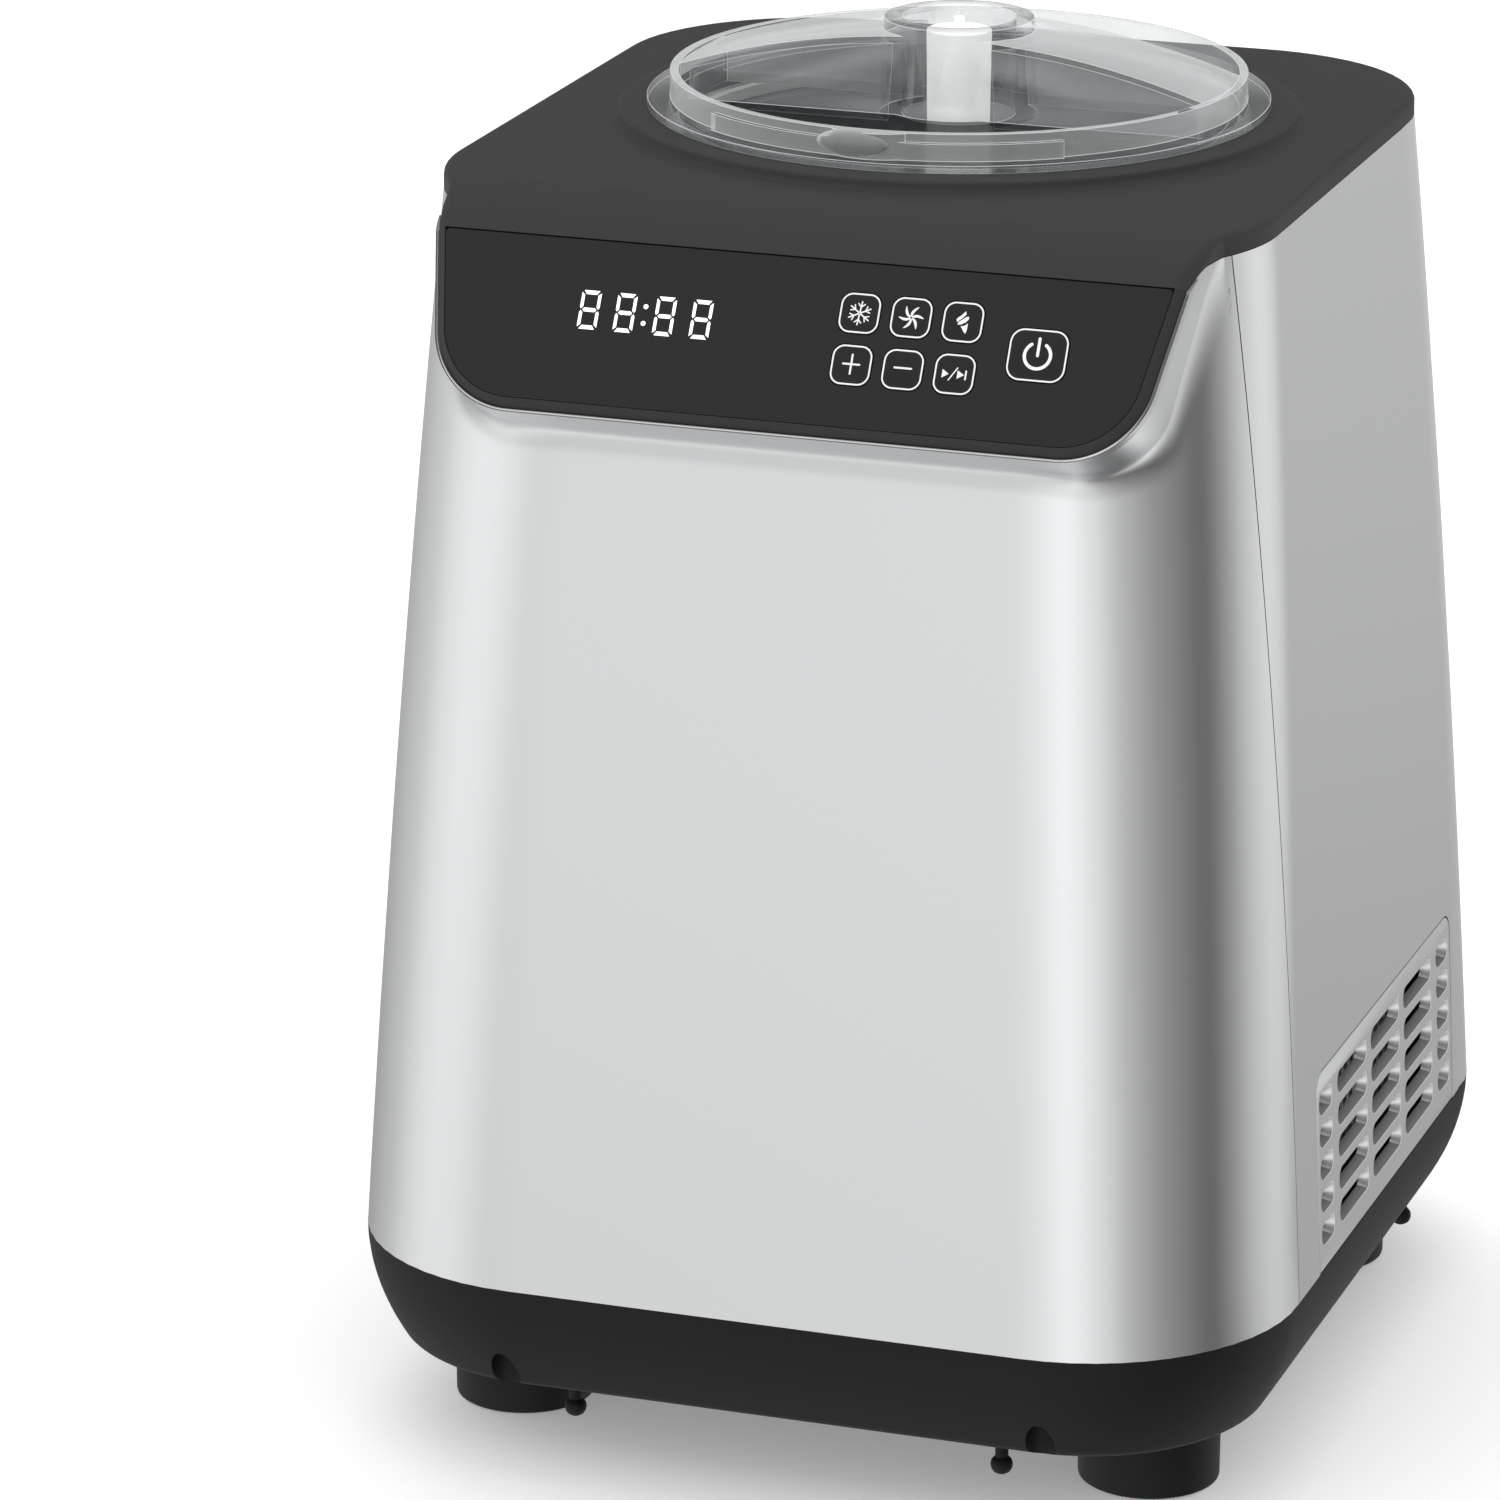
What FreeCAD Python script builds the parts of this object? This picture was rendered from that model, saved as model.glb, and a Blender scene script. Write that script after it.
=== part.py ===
import FreeCAD
import Part
import math
import os

from FreeCAD import Placement, Rotation, Vector

# Compressor ice cream maker: tapered silver housing on a black base, black top
# with a tilted control fascia, clear twist lid over a lift-out bowl.
# Millimetres. Origin on the floor under the middle, front towards -Y, up is +Z.

# Housing heights, from the floor up
foot_height = 19.7
base_height = 26.6
body_height = 241.6
cover_height = 4.7

# Base tray
base_half_width = 110.25
base_half_depth = 124.5
base_corner_r = 49.6
base_tuck = 8.9
base_wall = 3.2
base_floor = 2.5
lip_height = 4.0
lip_wall = 1.8
relief_depth = 1.2
relief_half_length = 52.0

# Feet
foot_inset_x = 34.45
foot_inset_y = 51.6
foot_r = 15.5
foot_draft = 0.8
pad_height = 3.0
pad_inset = 2.2

# Silver shells
top_half_width = 96.0
top_front = 103.0
top_back = 105.0
top_corner_r = 40.0
body_bow = 1.15
loft_steps = 4
shell_wall = 2.2
seam_setback = 49.2
seam_gap = 0.3

# Fits
slide_gap = 0.25
panel_gap = 0.3
running_gap = 0.05
rest_gap = 0.3
overcut = 1.0

# Control fascia, measured on its own tilted plane
panel_line_front = 99.0
panel_line_drop = 2.4
fascia_tilt = 17.2
fascia_height = 38.0
fascia_half_top = 86.5
fascia_splay = 0.235
fascia_corner_r = 17.0
fascia_thick = 3.2
fascia_edge = 2.0
fascia_bevel = 3.0
nose_rim = 1.0
nose_flare = 4.0
nose_depth = 26.0
nose_reach = 92.0

# Keys and display
key_width = 9.2
key_height = 8.8
key_corner_r = 2.0
key_column = 15.1
key_pitch_x = 11.7
key_row = 11.2
key_pitch_y = 11.3
key_row_shift = 1.0
power_width = 13.3
power_height = 11.4
power_corner_r = 2.6
power_x = 55.7
power_row = 16.9
key_proud = 0.25
key_dish = 0.2
key_border = 0.8
key_flange = 0.8
key_flange_thick = 1.0
key_travel = 0.7
board_depth = 8.0
board_thick = 1.6
board_half_length = 68.0
board_margin = 4.0
board_height = 26.0
board_post_r = 2.4
switch_size = 6.0
display_x = -33.0
display_row = 15.6
display_length = 38.0
display_height = 13.0
display_skin = 0.8

# Top cover
cover_wall = 2.2
cover_edge_r = 1.6
apron_reach = 20.0
collar_r = 78.0
collar_rise = 2.2
collar_edge_r = 1.0
bowl_axis_y = 14.2

# Lid
lid_rim_r = 66.2
lid_wall = 2.0
lid_flange_r = 71.5
lid_flange = 1.8
lid_rim_rise = 5.9
lid_floor_drop = 2.5
lid_skirt = 5.9
lid_tube_r = 17.2
lid_tube_foot_r = 18.2
lid_tube_wall = 4.2
lid_tube_rise = 18.1
bridge_half_width = 15.0
bridge_crown = 16.0
bridge_end_rise = 5.0
tab_reach = 2.2
tab_height = 2.0
tab_count = 3
tab_half_angle = 11.0
hook_half_angle = 13.0
hook_lead = 3.0
hook_height = 2.2
hook_clear = 0.5
lock_rib_half_angle = 38.0
lock_rib = 1.2
front_angle = 270.0
thumb_half_width = 8.5
thumb_rise = 2.6

# Bowl, chamber and insulation
bowl_r = 60.0
bowl_depth = 114.0
bowl_wall = 1.2
bowl_corner_r = 8.0
bowl_corner_steps = 4
bowl_rim_width = 5.5
bowl_rim_thick = 1.8
post_r = 10.0
post_wall = 1.5
post_height = 62.0
chamber_gap = 0.6
chamber_wall = 1.2
chamber_flange_width = 11.0
seal_height = 2.6
seal_width = 3.0
gasket_height = 2.0
gasket_width = 3.0
coil_tube_r = 3.0
coil_head = 19.0
coil_turns = 4
coil_steps = 20
coil_start = 15.0
foam_gap = 0.8
foam_wall = 14.8
foam_floor = 10.0

# Paddle and drive shaft
shaft_r = 5.0
shaft_rise = 16.0
hex_flat = 8.6
hub_wall = 2.4
stem_r = 11.0
stem_top_drop = 6.0
stem_pin_r = 1.2
stem_pin = 3.0
blade_thick = 4.0
blade_tip_gap = 2.4
blade_floor_gap = 2.4
blade_height = 92.0
blade_frame = 9.0
blade_slope = 24.0

# Deck and gear train
deck_thick = 3.0
deck_margin = 1.2
leg_r = 6.0
leg_inset = 32.25
leg_front = 62.0
leg_back = 80.0
gear_module = 1.0
pinion_teeth = 14
lay_teeth = 49
output_teeth = 56
tooth_addendum = 0.8
tooth_dedendum = 1.05
tooth_backlash = 0.2
pressure_angle = 20.0
flank_steps = 2
gear_face = 8.0
gear_layer_gap = 2.0
gear_tip_clear = 4.0
case_wall = 2.5
case_floor = 3.0
case_corner_r = 10.0
boss_wall = 1.5
lay_pin_r = 3.0
bush_wall = 2.5
bush_length = 5.0
motor_r = 28.0
motor_length = 66.0
motor_shaft_r = 2.5
motor_edge_r = 4.0
motor_shaft_depth = 15.0

# Cooling circuit
compressor_inset = 88.25
compressor_y = 62.0
compressor_r = 50.0
compressor_headroom = 10.0
compressor_dome = 9.0
weld_band = 1.5
weld_band_height = 4.0
grommet_r = 8.0
grommet_height = 8.0
grommet_spread = 33.0
plate_thick = 3.0
plate_margin = 4.0
stub_height = 4.0
suction_tube_r = 3.0
discharge_tube_r = 2.5
capillary_r = 1.2
bend_r = 5.0
bend_steps = 3
capillary_level = 0.7
discharge_level = 0.45
port_inset = 12.4
line_clear = 2.0
tube_sides = 8
condenser_inset = 21.25
condenser_thick = 18.0
condenser_length = 104.0
condenser_height = 62.0
condenser_y = 8.0
fin_count = 18
fin_gap = 3.0
fin_depth = 5.0
rail_height = 7.8
rail_width = 6.0
rail_spread = 24.0
fan_size = 76.0
fan_thick = 20.0
fan_spacing = 24.0
fan_y = 8.0
fan_wall = 2.5
fan_tip_gap = 1.2
fan_hub_r = 15.0
fan_blades = 7
fan_chord = 15.0
fan_blade_thick = 1.4
fan_root_angle = 42.0
fan_tip_angle = 24.0
fan_strut = 4.0
fan_motor_length = 6.0
fan_pin_r = 2.0
drier_x = 52.0
drier_y = 90.0
drier_r = 9.0
drier_length = 50.0
drier_neck = 6.0
drier_low = 60.0

# Vent panels
vent_center_y = 6.1
vent_half_length = 60.6
vent_height = 47.2
vent_corner_r = 5.0
vent_wall = 4.6
vent_rim = 2.0
slot_height = 5.2
slot_long = 25.5
slot_short = 10.8
slot_rows = 5
slot_row_pitch = 7.8
slot_first_row = 8.3
slot_long_pitch = 29.7
slot_short_offset = 52.9

# Cord gland, power board and screws
gland_x = -62.0
gland_z = 92.0
gland_r = 6.5
gland_bore_r = 3.6
gland_flange = 2.5
gland_flange_thick = 1.8
gland_length = 9.0
power_board_half_x = 38.0
power_board_depth = 44.0
power_board_setback = 20.5
power_post_r = 3.0
power_post_height = 8.0
core_half_length = 11.0
core_size = 14.6
capacitor_r = 7.3
capacitor_height = 22.0
screw_head_r = 2.6
screw_head = 2.4
screw_shank_r = 1.5
screw_drop = 7.5
screw_front_x = 51.0
screw_front_inset = 9.6
screw_side_inset = 4.4
screw_side_y = 72.0
pocket_x = 63.5
pocket_r = 3.4
pocket_height = 11.8
pocket_wall = 3.0

# Levels worked out from the sizes above
base_bottom = foot_height
base_top = base_bottom + base_height
body_top = base_top + body_height
cover_top = body_top + cover_height
collar_top = cover_top + collar_rise
tray_floor = base_bottom + base_floor
leg_x = base_half_width - leg_inset
compressor_x = compressor_inset - base_half_width
foot_x = base_half_width - foot_inset_x
foot_y = base_half_depth - foot_inset_y
power_board_front = base_half_depth - power_board_setback
seam_y = -base_half_depth + seam_setback
flange_bottom = collar_top + rest_gap
flange_top = flange_bottom + lid_flange
lid_rim_top = flange_top + lid_rim_rise
lid_floor_top = flange_top - lid_floor_drop
lid_floor_bottom = lid_floor_top - lid_wall
skirt_bottom = flange_bottom - lid_skirt
tube_top = flange_top + lid_tube_rise
seal_top = skirt_bottom - rest_gap
seal_bottom = seal_top - seal_height
bowl_rim_top = seal_bottom - rest_gap
bowl_rim_bottom = bowl_rim_top - bowl_rim_thick
bowl_bottom = bowl_rim_top - bowl_depth
chamber_flange_top = bowl_rim_bottom - rest_gap
chamber_floor = bowl_bottom - chamber_gap
chamber_bottom = chamber_floor - chamber_wall
chamber_r = bowl_r + chamber_gap
foam_bottom = chamber_bottom - foam_floor
deck_top = foam_bottom
deck_bottom = deck_top - deck_thick
bore_r = lid_rim_r + tab_reach + 2 * rest_gap
coil_pitch = (bowl_depth - coil_start - coil_head) / coil_turns
coil_r = (chamber_r + chamber_wall + rest_gap + coil_tube_r) / math.cos(math.pi / coil_steps)
foam_inner_r = coil_r + coil_tube_r + foam_gap
foam_outer_r = foam_inner_r + foam_wall
foam_top = chamber_flange_top - chamber_wall - rest_gap
post_top = bowl_bottom + post_height
shaft_top = post_top + shaft_rise
hub_r = post_r + rest_gap * 2 + hub_wall
stem_top = tube_top - stem_top_drop
output_gear_top = deck_bottom - bush_length
output_gear_bottom = output_gear_top - gear_face
lay_gear_top = output_gear_bottom - gear_layer_gap
lay_gear_bottom = lay_gear_top - gear_face
case_inner_floor = lay_gear_bottom - gear_layer_gap
case_bottom = case_inner_floor - case_floor
lay_distance = gear_module * (pinion_teeth + output_teeth) / 2
motor_distance = gear_module * (pinion_teeth + lay_teeth) / 2
bowl_axis = Vector(0, bowl_axis_y, 0)
lay_axis = Vector(0, bowl_axis_y - lay_distance, 0)
motor_axis = Vector(-motor_distance, bowl_axis_y - lay_distance, 0)
condenser_x = base_half_width - condenser_inset
fan_x = condenser_x - fan_spacing
compressor_bottom = tray_floor + grommet_height + plate_thick
compressor_top = case_bottom - compressor_headroom
fascia_place = Placement(
    Vector(0, -panel_line_front, body_top - panel_line_drop),
    Rotation(Vector(1, 0, 0), 90 - fascia_tilt),
)
z_axis = Vector(0, 0, 1)
far = 2 * (body_height + base_half_depth)
same_point = 1e-6


def export(node, shape):
    shape.exportStep("parts/" + node + ".step")


def mix(a, b, t):
    return a + (b - a) * t


def box(x0, x1, y0, y1, z0, z1):
    return Part.makeBox(x1 - x0, y1 - y0, z1 - z0, Vector(x0, y0, z0))


def cylinder(axis, r, z0, z1):
    return Part.makeCylinder(r, z1 - z0, axis + z_axis * z0)


def hole(axis, r, z0, z1):
    return cylinder(axis, r, z0 - overcut, z1 + overcut)


def ring(axis, r_out, r_in, z0, z1):
    return cylinder(axis, r_out, z0, z1).cut(cylinder(axis, r_in, z0, z1))


def cone(axis, r0, r1, z0, z1):
    return Part.makeCone(r0, r1, z1 - z0, axis + z_axis * z0)


def fuse(shapes):
    return shapes[0].multiFuse(shapes[1:]).removeSplitter()


def polar(center, r, degrees):
    angle = math.radians(degrees)
    return center + Vector(r * math.cos(angle), r * math.sin(angle), 0)


def arc(center, r, start, end):
    middle = (start + end) / 2
    points = [polar(center, r, a) for a in (start, middle, end)]
    return Part.Arc(*points).toShape()


def closed_wire(parts):
    edges = []
    for i, part in enumerate(parts):
        end = part.Vertexes[-1].Point
        following = parts[(i + 1) % len(parts)].Vertexes[0].Point
        edges.append(part)
        if not end.isEqual(following, same_point):
            edges.append(Part.makeLine(end, following))
    return Part.Wire(edges)


def rounded_rect(x0, x1, y0, y1, r, z):
    corners = (
        (x1 - r, y0 + r, -90),
        (x1 - r, y1 - r, 0),
        (x0 + r, y1 - r, 90),
        (x0 + r, y0 + r, 180),
    )
    return closed_wire([arc(Vector(x, y, z), r, a, a + 90) for x, y, a in corners])


def rounded_block(x0, x1, y0, y1, r, z0, z1):
    face = Part.Face(rounded_rect(x0, x1, y0, y1, r, z0))
    return face.extrude(z_axis * (z1 - z0))


def sector(axis, r_out, r_in, z0, z1, middle, half_angle):
    start = middle - half_angle
    outer = arc(axis + z_axis * z0, r_out, start, middle + half_angle)
    inner = arc(axis + z_axis * z0, r_in, middle + half_angle, start)
    return Part.Face(closed_wire([outer, inner])).extrude(z_axis * (z1 - z0))


def turned(axis, points):
    corners = [axis + Vector(r, 0, z) for r, z in points]
    face = Part.Face(Part.makePolygon(corners + corners[:1]))
    return face.revolve(axis, z_axis, 360)


def body_bulge(t):
    return 4 * t * (1 - t) * body_bow


def body_half_width(z):
    t = (z - base_top) / body_height
    return mix(base_half_width, top_half_width, t) + body_bulge(t)


def body_section(z, inset):
    t = (z - base_top) / body_height
    grow = body_bulge(t) - inset
    half = body_half_width(z) - inset
    front = mix(base_half_depth, top_front, t) + grow
    back = mix(base_half_depth, top_back, t) + grow
    r = mix(base_corner_r, top_corner_r, t) + grow
    return rounded_rect(-half, half, -front, back, r, z)


def body_solid(inset, z0, z1):
    levels = [mix(z0, z1, i / loft_steps) for i in range(loft_steps + 1)]
    return Part.makeLoft([body_section(z, inset) for z in levels], True, True)


def base_section(z, inset):
    tuck = base_tuck * ((base_top - z) / base_height) ** 2 + inset
    half = base_half_width - tuck
    depth = base_half_depth - tuck
    return rounded_rect(-half, half, -depth, depth, base_corner_r - tuck, z)


def base_solid(inset, z0, z1):
    levels = [mix(z0, z1, i / loft_steps) for i in range(loft_steps + 1)]
    return Part.makeLoft([base_section(z, inset) for z in levels], True, False)


def fascia_outline(grow, top, depth):
    lean = math.hypot(1, fascia_splay)
    half = fascia_half_top + grow * lean
    bottom = -fascia_height - grow
    r = fascia_corner_r + grow
    center_x = half + fascia_splay * (bottom + r) - r * lean
    right = Vector(center_x, bottom + r, depth)
    left = Vector(-center_x, bottom + r, depth)
    side = math.degrees(math.atan(fascia_splay))
    top_x = half + fascia_splay * top
    top_edge = Part.makeLine(Vector(top_x, top, depth), Vector(-top_x, top, depth))
    left_arc = arc(left, r, 180 + side, 270)
    right_arc = arc(right, r, -90, -side)
    return closed_wire([top_edge, left_arc, right_arc])


def fascia_prism(grow, top, depth0, depth1):
    face = Part.Face(fascia_outline(grow, top, depth0))
    return placed(face.extrude(z_axis * (depth1 - depth0)))


def nose_block(grow):
    top = fascia_corner_r
    block = Part.makeLoft([
        fascia_outline(grow, top, -nose_reach),
        fascia_outline(grow, top, -fascia_edge),
        fascia_outline(grow - 2 * fascia_bevel, top, fascia_edge),
    ], True, True)
    return placed(block)


def placed(shape):
    moved = shape.copy()
    moved.Placement = fascia_place.multiply(moved.Placement)
    return moved


def bend_path(points, bend):
    samples = [(points[0], (points[1] - points[0]).normalize())]
    for before, corner, after in zip(points, points[1:], points[2:]):
        back = (before - corner).normalize()
        ahead = (after - corner).normalize()
        turn = math.pi - back.getAngle(ahead)
        center = corner + (back + ahead).normalize() * bend / math.cos(turn / 2)
        entry = corner + back * bend * math.tan(turn / 2)
        for i in range(bend_steps + 1):
            spin = Rotation(back.cross(ahead) * -1, math.degrees(turn) * i / bend_steps)
            samples.append((center + spin.multVec(entry - center), spin.multVec(back * -1)))
    samples.append((points[-1], (points[-1] - points[-2]).normalize()))
    return samples


def tube(samples, r):
    point, along = samples[0]
    side = along.cross(Vector(along.y, along.z, along.x)).normalize() * r
    wires = []
    for next_point, next_along in samples:
        side = Rotation(along, next_along).multVec(side)
        along = next_along
        turns = [Rotation(along, 360 * i / tube_sides) for i in range(tube_sides + 1)]
        wires.append(Part.makePolygon([next_point + turn.multVec(side) for turn in turns]))
    return Part.makeLoft(wires, True, True)


def gear(axis, teeth, z0, tooth_direction):
    pitch_r = gear_module * teeth / 2
    base_r = pitch_r * math.cos(math.radians(pressure_angle))
    root_r = pitch_r - tooth_dedendum * gear_module
    tip_r = pitch_r + tooth_addendum * gear_module
    start_r = max(base_r, root_r)

    def involute(r):
        angle = math.acos(min(1, base_r / r))
        return math.tan(angle) - angle

    half_tooth = math.pi / (2 * teeth) - tooth_backlash / (2 * pitch_r) + involute(pitch_r)
    flank = [(root_r, half_tooth - involute(start_r))]
    for i in range(flank_steps + 1):
        r = mix(start_r, tip_r, i / flank_steps)
        flank.append((r, half_tooth - involute(r)))
    corners = []
    for tooth in range(teeth):
        middle = math.radians(tooth_direction) + tooth * 2 * math.pi / teeth
        outline = [(r, middle - a) for r, a in flank]
        outline += [(r, middle + a) for r, a in reversed(flank)]
        corners += [polar(axis + z_axis * z0, r, math.degrees(a)) for r, a in outline]
    distinct = [p for i, p in enumerate(corners) if p.distanceToPoint(corners[i - 1]) > same_point]
    face = Part.Face(Part.makePolygon(distinct + distinct[:1]))
    return face.extrude(z_axis * gear_face)


def hexagon(axis, flat, z0, z1):
    corner_r = flat / math.sqrt(3)
    corners = [polar(axis + z_axis * z0, corner_r, 60 * i) for i in range(6)]
    return Part.Face(Part.makePolygon(corners + corners[:1])).extrude(z_axis * (z1 - z0))


# Base tray with screw pockets, rails and board posts
def make_base_tray():
    outer = base_solid(0, base_bottom, base_top)
    hollow = base_solid(base_wall, tray_floor, base_top + overcut)
    tray = outer.cut(hollow)
    lip_inset = shell_wall + slide_gap
    lip_outer = body_solid(lip_inset, base_top - lip_height, base_top + lip_height)
    lip_inner = body_solid(lip_inset + lip_wall, base_top - lip_height, base_top + lip_height)
    additions = [lip_outer.cut(lip_inner)]
    pocket_top = base_bottom + pocket_height
    cuts = []
    pocket_y = -base_half_depth + base_tuck - pocket_r / 2
    for side in (-1, 1):
        center = Vector(side * pocket_x, pocket_y, 0)
        boss = cylinder(center, pocket_r + pocket_wall, base_bottom, pocket_top + pocket_wall)
        additions.append(boss.common(outer))
        cuts.append(cylinder(center, pocket_r, base_bottom - overcut, pocket_top))
    for y in (condenser_y - rail_spread, condenser_y + rail_spread):
        x0 = fan_x - fan_thick / 2
        x1 = condenser_x + condenser_thick / 2
        rail = box(x0, x1, y - rail_width / 2, y + rail_width / 2, base_bottom, tray_floor + rail_height)
        additions.append(rail)
    for point in power_post_points():
        additions.append(cylinder(point, power_post_r, base_bottom, tray_floor + power_post_height))
    tray = fuse([tray] + additions)
    for side in (-1, 1):
        x0 = side * base_half_width - base_tuck - base_wall
        x1 = side * base_half_width + base_tuck + base_wall
        y1 = relief_half_length
        cuts.append(box(x0, x1, -y1, y1, base_bottom - overcut, base_bottom + relief_depth))
    return tray.cut(Part.makeCompound(cuts))


def power_post_points():
    inset = 2 * power_post_r
    xs = (-power_board_half_x + inset, power_board_half_x - inset)
    ys = (-power_board_front + inset, -power_board_front + power_board_depth - inset)
    return [Vector(x, y, 0) for x in xs for y in ys]


def make_foot(x, y):
    axis = Vector(x, y, 0)
    return cone(axis, foot_r - foot_draft, foot_r, pad_height, base_bottom)


def make_foot_pad(x, y):
    return cylinder(Vector(x, y, 0), foot_r - pad_inset, 0, pad_height)


# Silver shells, one loft cut at the seam
def half_space(y0, y1):
    return box(-far, far, y0, y1, -far, far)


def vent_outline(grow, foot_z):
    y0 = vent_center_y - vent_half_length - grow
    y1 = vent_center_y + vent_half_length + grow
    r = vent_corner_r + grow
    z1 = foot_z + vent_height + grow
    front = arc_yz(y0 + r, z1 - r, r, 180, 90)
    back = arc_yz(y1 - r, z1 - r, r, 90, 0)
    foot = Part.makeLine(Vector(0, y1, foot_z - overcut), Vector(0, y0, foot_z - overcut))
    return closed_wire([front, back, foot])


def vent_window(side):
    return Part.Face(vent_outline(panel_gap, base_top)).extrude(Vector(side * far, 0, 0))


def arc_yz(y, z, r, start, end):
    angles = [math.radians(a) for a in (start, (start + end) / 2, end)]
    points = [Vector(0, y + r * math.cos(a), z + r * math.sin(a)) for a in angles]
    return Part.Arc(*points).toShape()


def make_front_shell():
    skin = body_solid(0, base_top, body_top)
    rim = panel_gap + nose_rim
    top = fascia_corner_r
    flank = Part.makeLoft([
        fascia_outline(rim, top, -fascia_edge),
        fascia_outline(rim + nose_flare, top, -nose_depth),
    ], True, True)
    below_cover = box(-far, far, -far, seam_y - seam_gap / 2, base_top, body_top)
    skin = skin.fuse(placed(flank)).common(below_cover)
    cavity = body_solid(shell_wall, base_top - overcut, body_top + overcut)
    window = fascia_prism(panel_gap, top, -far, nose_reach)
    return skin.cut(cavity).cut(window)


def gland_center():
    return Vector(gland_x, 0, gland_z)


def gland_rod(r):
    return Part.makeCylinder(r, far, gland_center(), Vector(0, 1, 0))


def make_rear_shell():
    skin = body_solid(0, base_top, body_top)
    cavity = body_solid(shell_wall, base_top - overcut, body_top + overcut)
    shell = skin.cut(cavity).common(half_space(seam_y + seam_gap / 2, far))
    for side in (-1, 1):
        shell = shell.cut(vent_window(side))
    return shell.cut(gland_rod(gland_r + slide_gap))


def make_cord_gland():
    wall_outer = body_solid(0, base_top, body_top)
    flange_outer = body_solid(-gland_flange_thick, base_top, body_top)
    flange = gland_rod(gland_r + gland_flange).common(flange_outer).cut(wall_outer)
    neck_limit = body_solid(gland_length, base_top, body_top)
    neck = gland_rod(gland_r).common(flange_outer).cut(neck_limit)
    return fuse([flange, neck]).cut(gland_rod(gland_bore_r))


def slot_prism(y, z, length):
    half = length / 2 - slot_height / 2
    r = slot_height / 2
    front = arc_yz(y - half, z, r, 270, 90)
    back = arc_yz(y + half, z, r, 90, -90)
    slot = Part.Face(closed_wire([front, back])).extrude(Vector(4 * vent_wall, 0, 0))
    slot.translate(Vector(-2 * vent_wall, 0, 0))
    return slot


def make_vent_panel(side):
    strip = body_height / loft_steps
    lean = math.atan2(body_half_width(base_top) - body_half_width(base_top + strip), strip)
    outline = Part.Face(vent_outline(0, 0)).extrude(Vector(-shell_wall / math.cos(lean), 0, 0))
    grille = Part.Face(vent_outline(-vent_rim, 0)).extrude(Vector(-vent_wall, 0, 0))
    above_lip = box(-far, far, -far, far, lip_height + vent_rim, far)
    outline = fuse([outline, grille.common(above_lip)])
    columns = [(offset * slot_long_pitch, slot_long) for offset in (-1, 0, 1)]
    columns += [(offset * slot_short_offset, slot_short) for offset in (-1, 1)]
    slots = []
    for row in range(slot_rows):
        for offset, length in columns:
            slots.append(slot_prism(vent_center_y + offset, slot_first_row + row * slot_row_pitch, length))
    panel = outline.cut(Part.makeCompound(slots))
    panel.rotate(Vector(0, 0, 0), Vector(0, 1, 0), -math.degrees(lean))
    panel.translate(Vector(base_half_width, 0, base_top))
    panel = panel.common(box(0, far, -far, far, base_top, body_top))
    if side < 0:
        panel = panel.mirror(Vector(0, 0, 0), Vector(1, 0, 0))
    return panel


# Top cover with apron, collar and lock hooks
def apron_region(shrink):
    start_y = -panel_line_front + apron_reach
    drop = cover_height + panel_line_drop
    r = (apron_reach ** 2 + drop ** 2) / (2 * drop)
    center_z = cover_top - r
    turn = math.degrees(math.asin(apron_reach / r))
    slope = arc_yz(start_y, center_z, r - shrink, 90, 90 + turn)
    low = slope.Vertexes[-1].Point
    level = body_top - panel_line_drop
    tail = Part.makeLine(Vector(0, low.y, level), Vector(0, start_y, level))
    face = Part.Face(closed_wire([slope, tail]))
    region = face.extrude(Vector(far, 0, 0))
    region.translate(Vector(-far / 2, 0, 0))
    return region


def make_top_cover():
    start_y = -panel_line_front + apron_reach
    plate = Part.makeLoft([body_section(body_top, 0), body_section(cover_top, 0)], True, True)
    top_face = max(plate.Faces, key=lambda face: face.CenterOfMass.z)
    plate = plate.makeFillet(cover_edge_r, top_face.Edges)
    nose = nose_block(0)
    front_nose = fascia_prism(0, fascia_corner_r, -nose_reach, nose_reach).common(half_space(-far, start_y))
    apron = nose.common(apron_region(0))
    collar = cylinder(bowl_axis, collar_r, body_top, collar_top)
    collar = collar.makeFillet(collar_edge_r, [collar.Faces[1].Edges[0]])
    cover = fuse([plate.cut(front_nose), apron, collar])
    pocket = body_solid(cover_wall, body_top - overcut, cover_top - cover_wall)
    pocket = pocket.common(half_space(start_y, far))
    apron_hollow = nose_block(-cover_wall).common(apron_region(cover_wall))
    cover = cover.cut(pocket).cut(apron_hollow)
    ring_bottom = chamber_flange_top + gasket_height + rest_gap
    cover = cover.fuse(cylinder(bowl_axis, bore_r + gasket_width, ring_bottom, collar_top))
    cover = cover.cut(cylinder(bowl_axis, bore_r, ring_bottom - overcut, collar_top + overcut))
    hook_bottom = skirt_bottom + tab_height + hook_clear
    hooks = []
    hook_top = hook_bottom + hook_height
    hook_in = lid_rim_r + rest_gap * 2
    hook_out = bore_r + gasket_width / 2
    for i in range(tab_count):
        middle = i * 360 / tab_count - tab_half_angle - hook_lead - hook_half_angle
        hooks.append(sector(bowl_axis, hook_out, hook_in, hook_bottom, hook_top, middle, hook_half_angle))
    return fuse([cover] + hooks)


# Control fascia, keys and boards, built flat and then tilted into place
def key_places():
    places = []
    names = (("key_cool", "key_stir", "key_ice_cream"), ("key_plus", "key_minus", "key_start_pause"))
    for row, row_names in enumerate(names):
        for column, name in enumerate(row_names):
            x = key_column + column * key_pitch_x - row * key_row_shift
            y = -key_row - row * key_pitch_y
            places.append((name, x, y, key_width, key_height, key_corner_r))
    places.append(("key_power", power_x, -power_row, power_width, power_height, power_corner_r))
    return places


def key_block(x, y, width, height, r, grow, depth0, depth1):
    half_x = width / 2 + grow
    half_y = height / 2 + grow
    return rounded_block(x - half_x, x + half_x, y - half_y, y + half_y, r + grow, depth0, depth1)


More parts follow.
